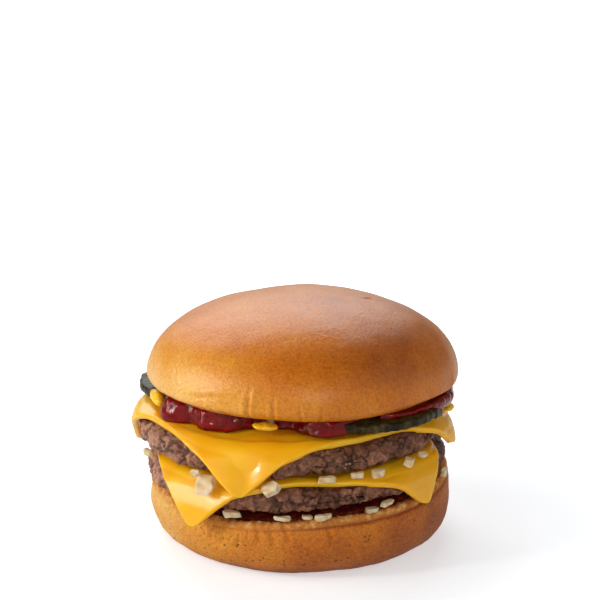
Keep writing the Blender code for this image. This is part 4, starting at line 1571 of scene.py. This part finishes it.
class BURGER_OT_bun(bpy.types.Operator):
    """Build the heel and the crown of the bun"""

    bl_idname = "burger.bun"
    bl_label = "Bun"

    def execute(self, context):
        build_heel(context.scene.burger_bun)
        build_crown(context.scene.burger_bun)
        return {"FINISHED"}


class BURGER_OT_crumbs(bpy.types.Operator):
    """Scatter crumbs on the heel's torn lip"""

    bl_idname = "burger.crumbs"
    bl_label = "Crumbs"

    def execute(self, context):
        build_crumbs(context.scene.burger_bun)
        return {"FINISHED"}


class BURGER_OT_patties(bpy.types.Operator):
    """Build both patties"""

    bl_idname = "burger.patties"
    bl_label = "Patties"

    def execute(self, context):
        material = beef_material(context.scene.burger_filling)
        for number, name in enumerate(PATTIES):
            build_patty(name, material, 30.0 * number)
        return {"FINISHED"}


class BURGER_OT_juices(bpy.types.Operator):
    """Add beads of juice to the patties"""

    bl_idname = "burger.juices"
    bl_label = "Juices"

    def execute(self, context):
        build_juices(context.scene.burger_filling)
        return {"FINISHED"}


class BURGER_OT_cheese(bpy.types.Operator):
    """Drape both slices of cheese"""

    bl_idname = "burger.cheese"
    bl_label = "Cheese"

    def execute(self, context):
        material = cheese_material(context.scene.burger_filling)
        for number, name in enumerate(CHEESES):
            build_cheese(name, material, 12.0 * number)
        return {"FINISHED"}


class BURGER_OT_pickles(bpy.types.Operator):
    """Lay the pickle slices"""

    bl_idname = "burger.pickles"
    bl_label = "Pickles"

    def execute(self, context):
        material = pickle_material(context.scene.burger_topping)
        for number, name in enumerate(PICKLES):
            build_pickle(name, material, 6.0 * number)
        return {"FINISHED"}


class BURGER_OT_sauces(bpy.types.Operator):
    """Squeeze on the ketchup and the mustard"""

    bl_idname = "burger.sauces"
    bl_label = "Sauces"

    def execute(self, context):
        settings = context.scene.burger_topping
        red = ketchup_material(settings)
        layer = build_ketchup(red)
        for name in PICKLES:
            cut_room(layer, bpy.data.objects[name + "_slice"])
        build_ketchup_band(red)
        yellow = mustard_material(settings)
        for name in ("mustard_left", "mustard_front", "mustard_right"):
            build_mustard(name, yellow)
        return {"FINISHED"}


class BURGER_OT_onions(bpy.types.Operator):
    """Scatter the diced onion"""

    bl_idname = "burger.onions"
    bl_label = "Onions"

    def execute(self, context):
        material = onion_material(context.scene.burger_topping)
        for node in sorted(frame["nodes"]):
            if node.startswith("onion_"):
                build_onion(node, material)
        return {"FINISHED"}


OPERATORS = (
    BURGER_OT_stage,
    BURGER_OT_bun,
    BURGER_OT_crumbs,
    BURGER_OT_patties,
    BURGER_OT_juices,
    BURGER_OT_cheese,
    BURGER_OT_pickles,
    BURGER_OT_sauces,
    BURGER_OT_onions,
)


class BURGER_PT_sidebar(bpy.types.Panel):
    """Steps of the burger, and the colours that each of them uses"""

    bl_idname = "BURGER_PT_sidebar"
    bl_label = "Double Cheeseburger"
    bl_space_type = "VIEW_3D"
    bl_region_type = "UI"
    bl_category = "Burger"

    def draw(self, context):
        for operator in OPERATORS:
            self.layout.operator(operator.bl_idname)
        for group in SETTINGS:
            for name in SETTINGS[group].__annotations__:
                self.layout.prop(getattr(context.scene, group), name)


SETTINGS = {
    "burger_bun": BunSettings,
    "burger_filling": FillingSettings,
    "burger_topping": ToppingSettings,
    "burger_stage": StageSettings,
}
CLASSES = (*SETTINGS.values(), *OPERATORS, BURGER_PT_sidebar)


def register():
    for entry in CLASSES:
        bpy.utils.register_class(entry)
    for group, kind in SETTINGS.items():
        setattr(bpy.types.Scene, group, PointerProperty(type=kind))


def unregister():
    for group in SETTINGS:
        delattr(bpy.types.Scene, group)
    for entry in reversed(CLASSES):
        bpy.utils.unregister_class(entry)


def main():
    register()
    bpy.ops.burger.stage()
    bpy.ops.burger.bun()
    bpy.ops.burger.crumbs()
    bpy.ops.burger.patties()
    bpy.ops.burger.juices()
    bpy.ops.burger.cheese()
    bpy.ops.burger.pickles()
    bpy.ops.burger.sauces()
    bpy.ops.burger.onions()


if __name__ == "__main__":
    main()
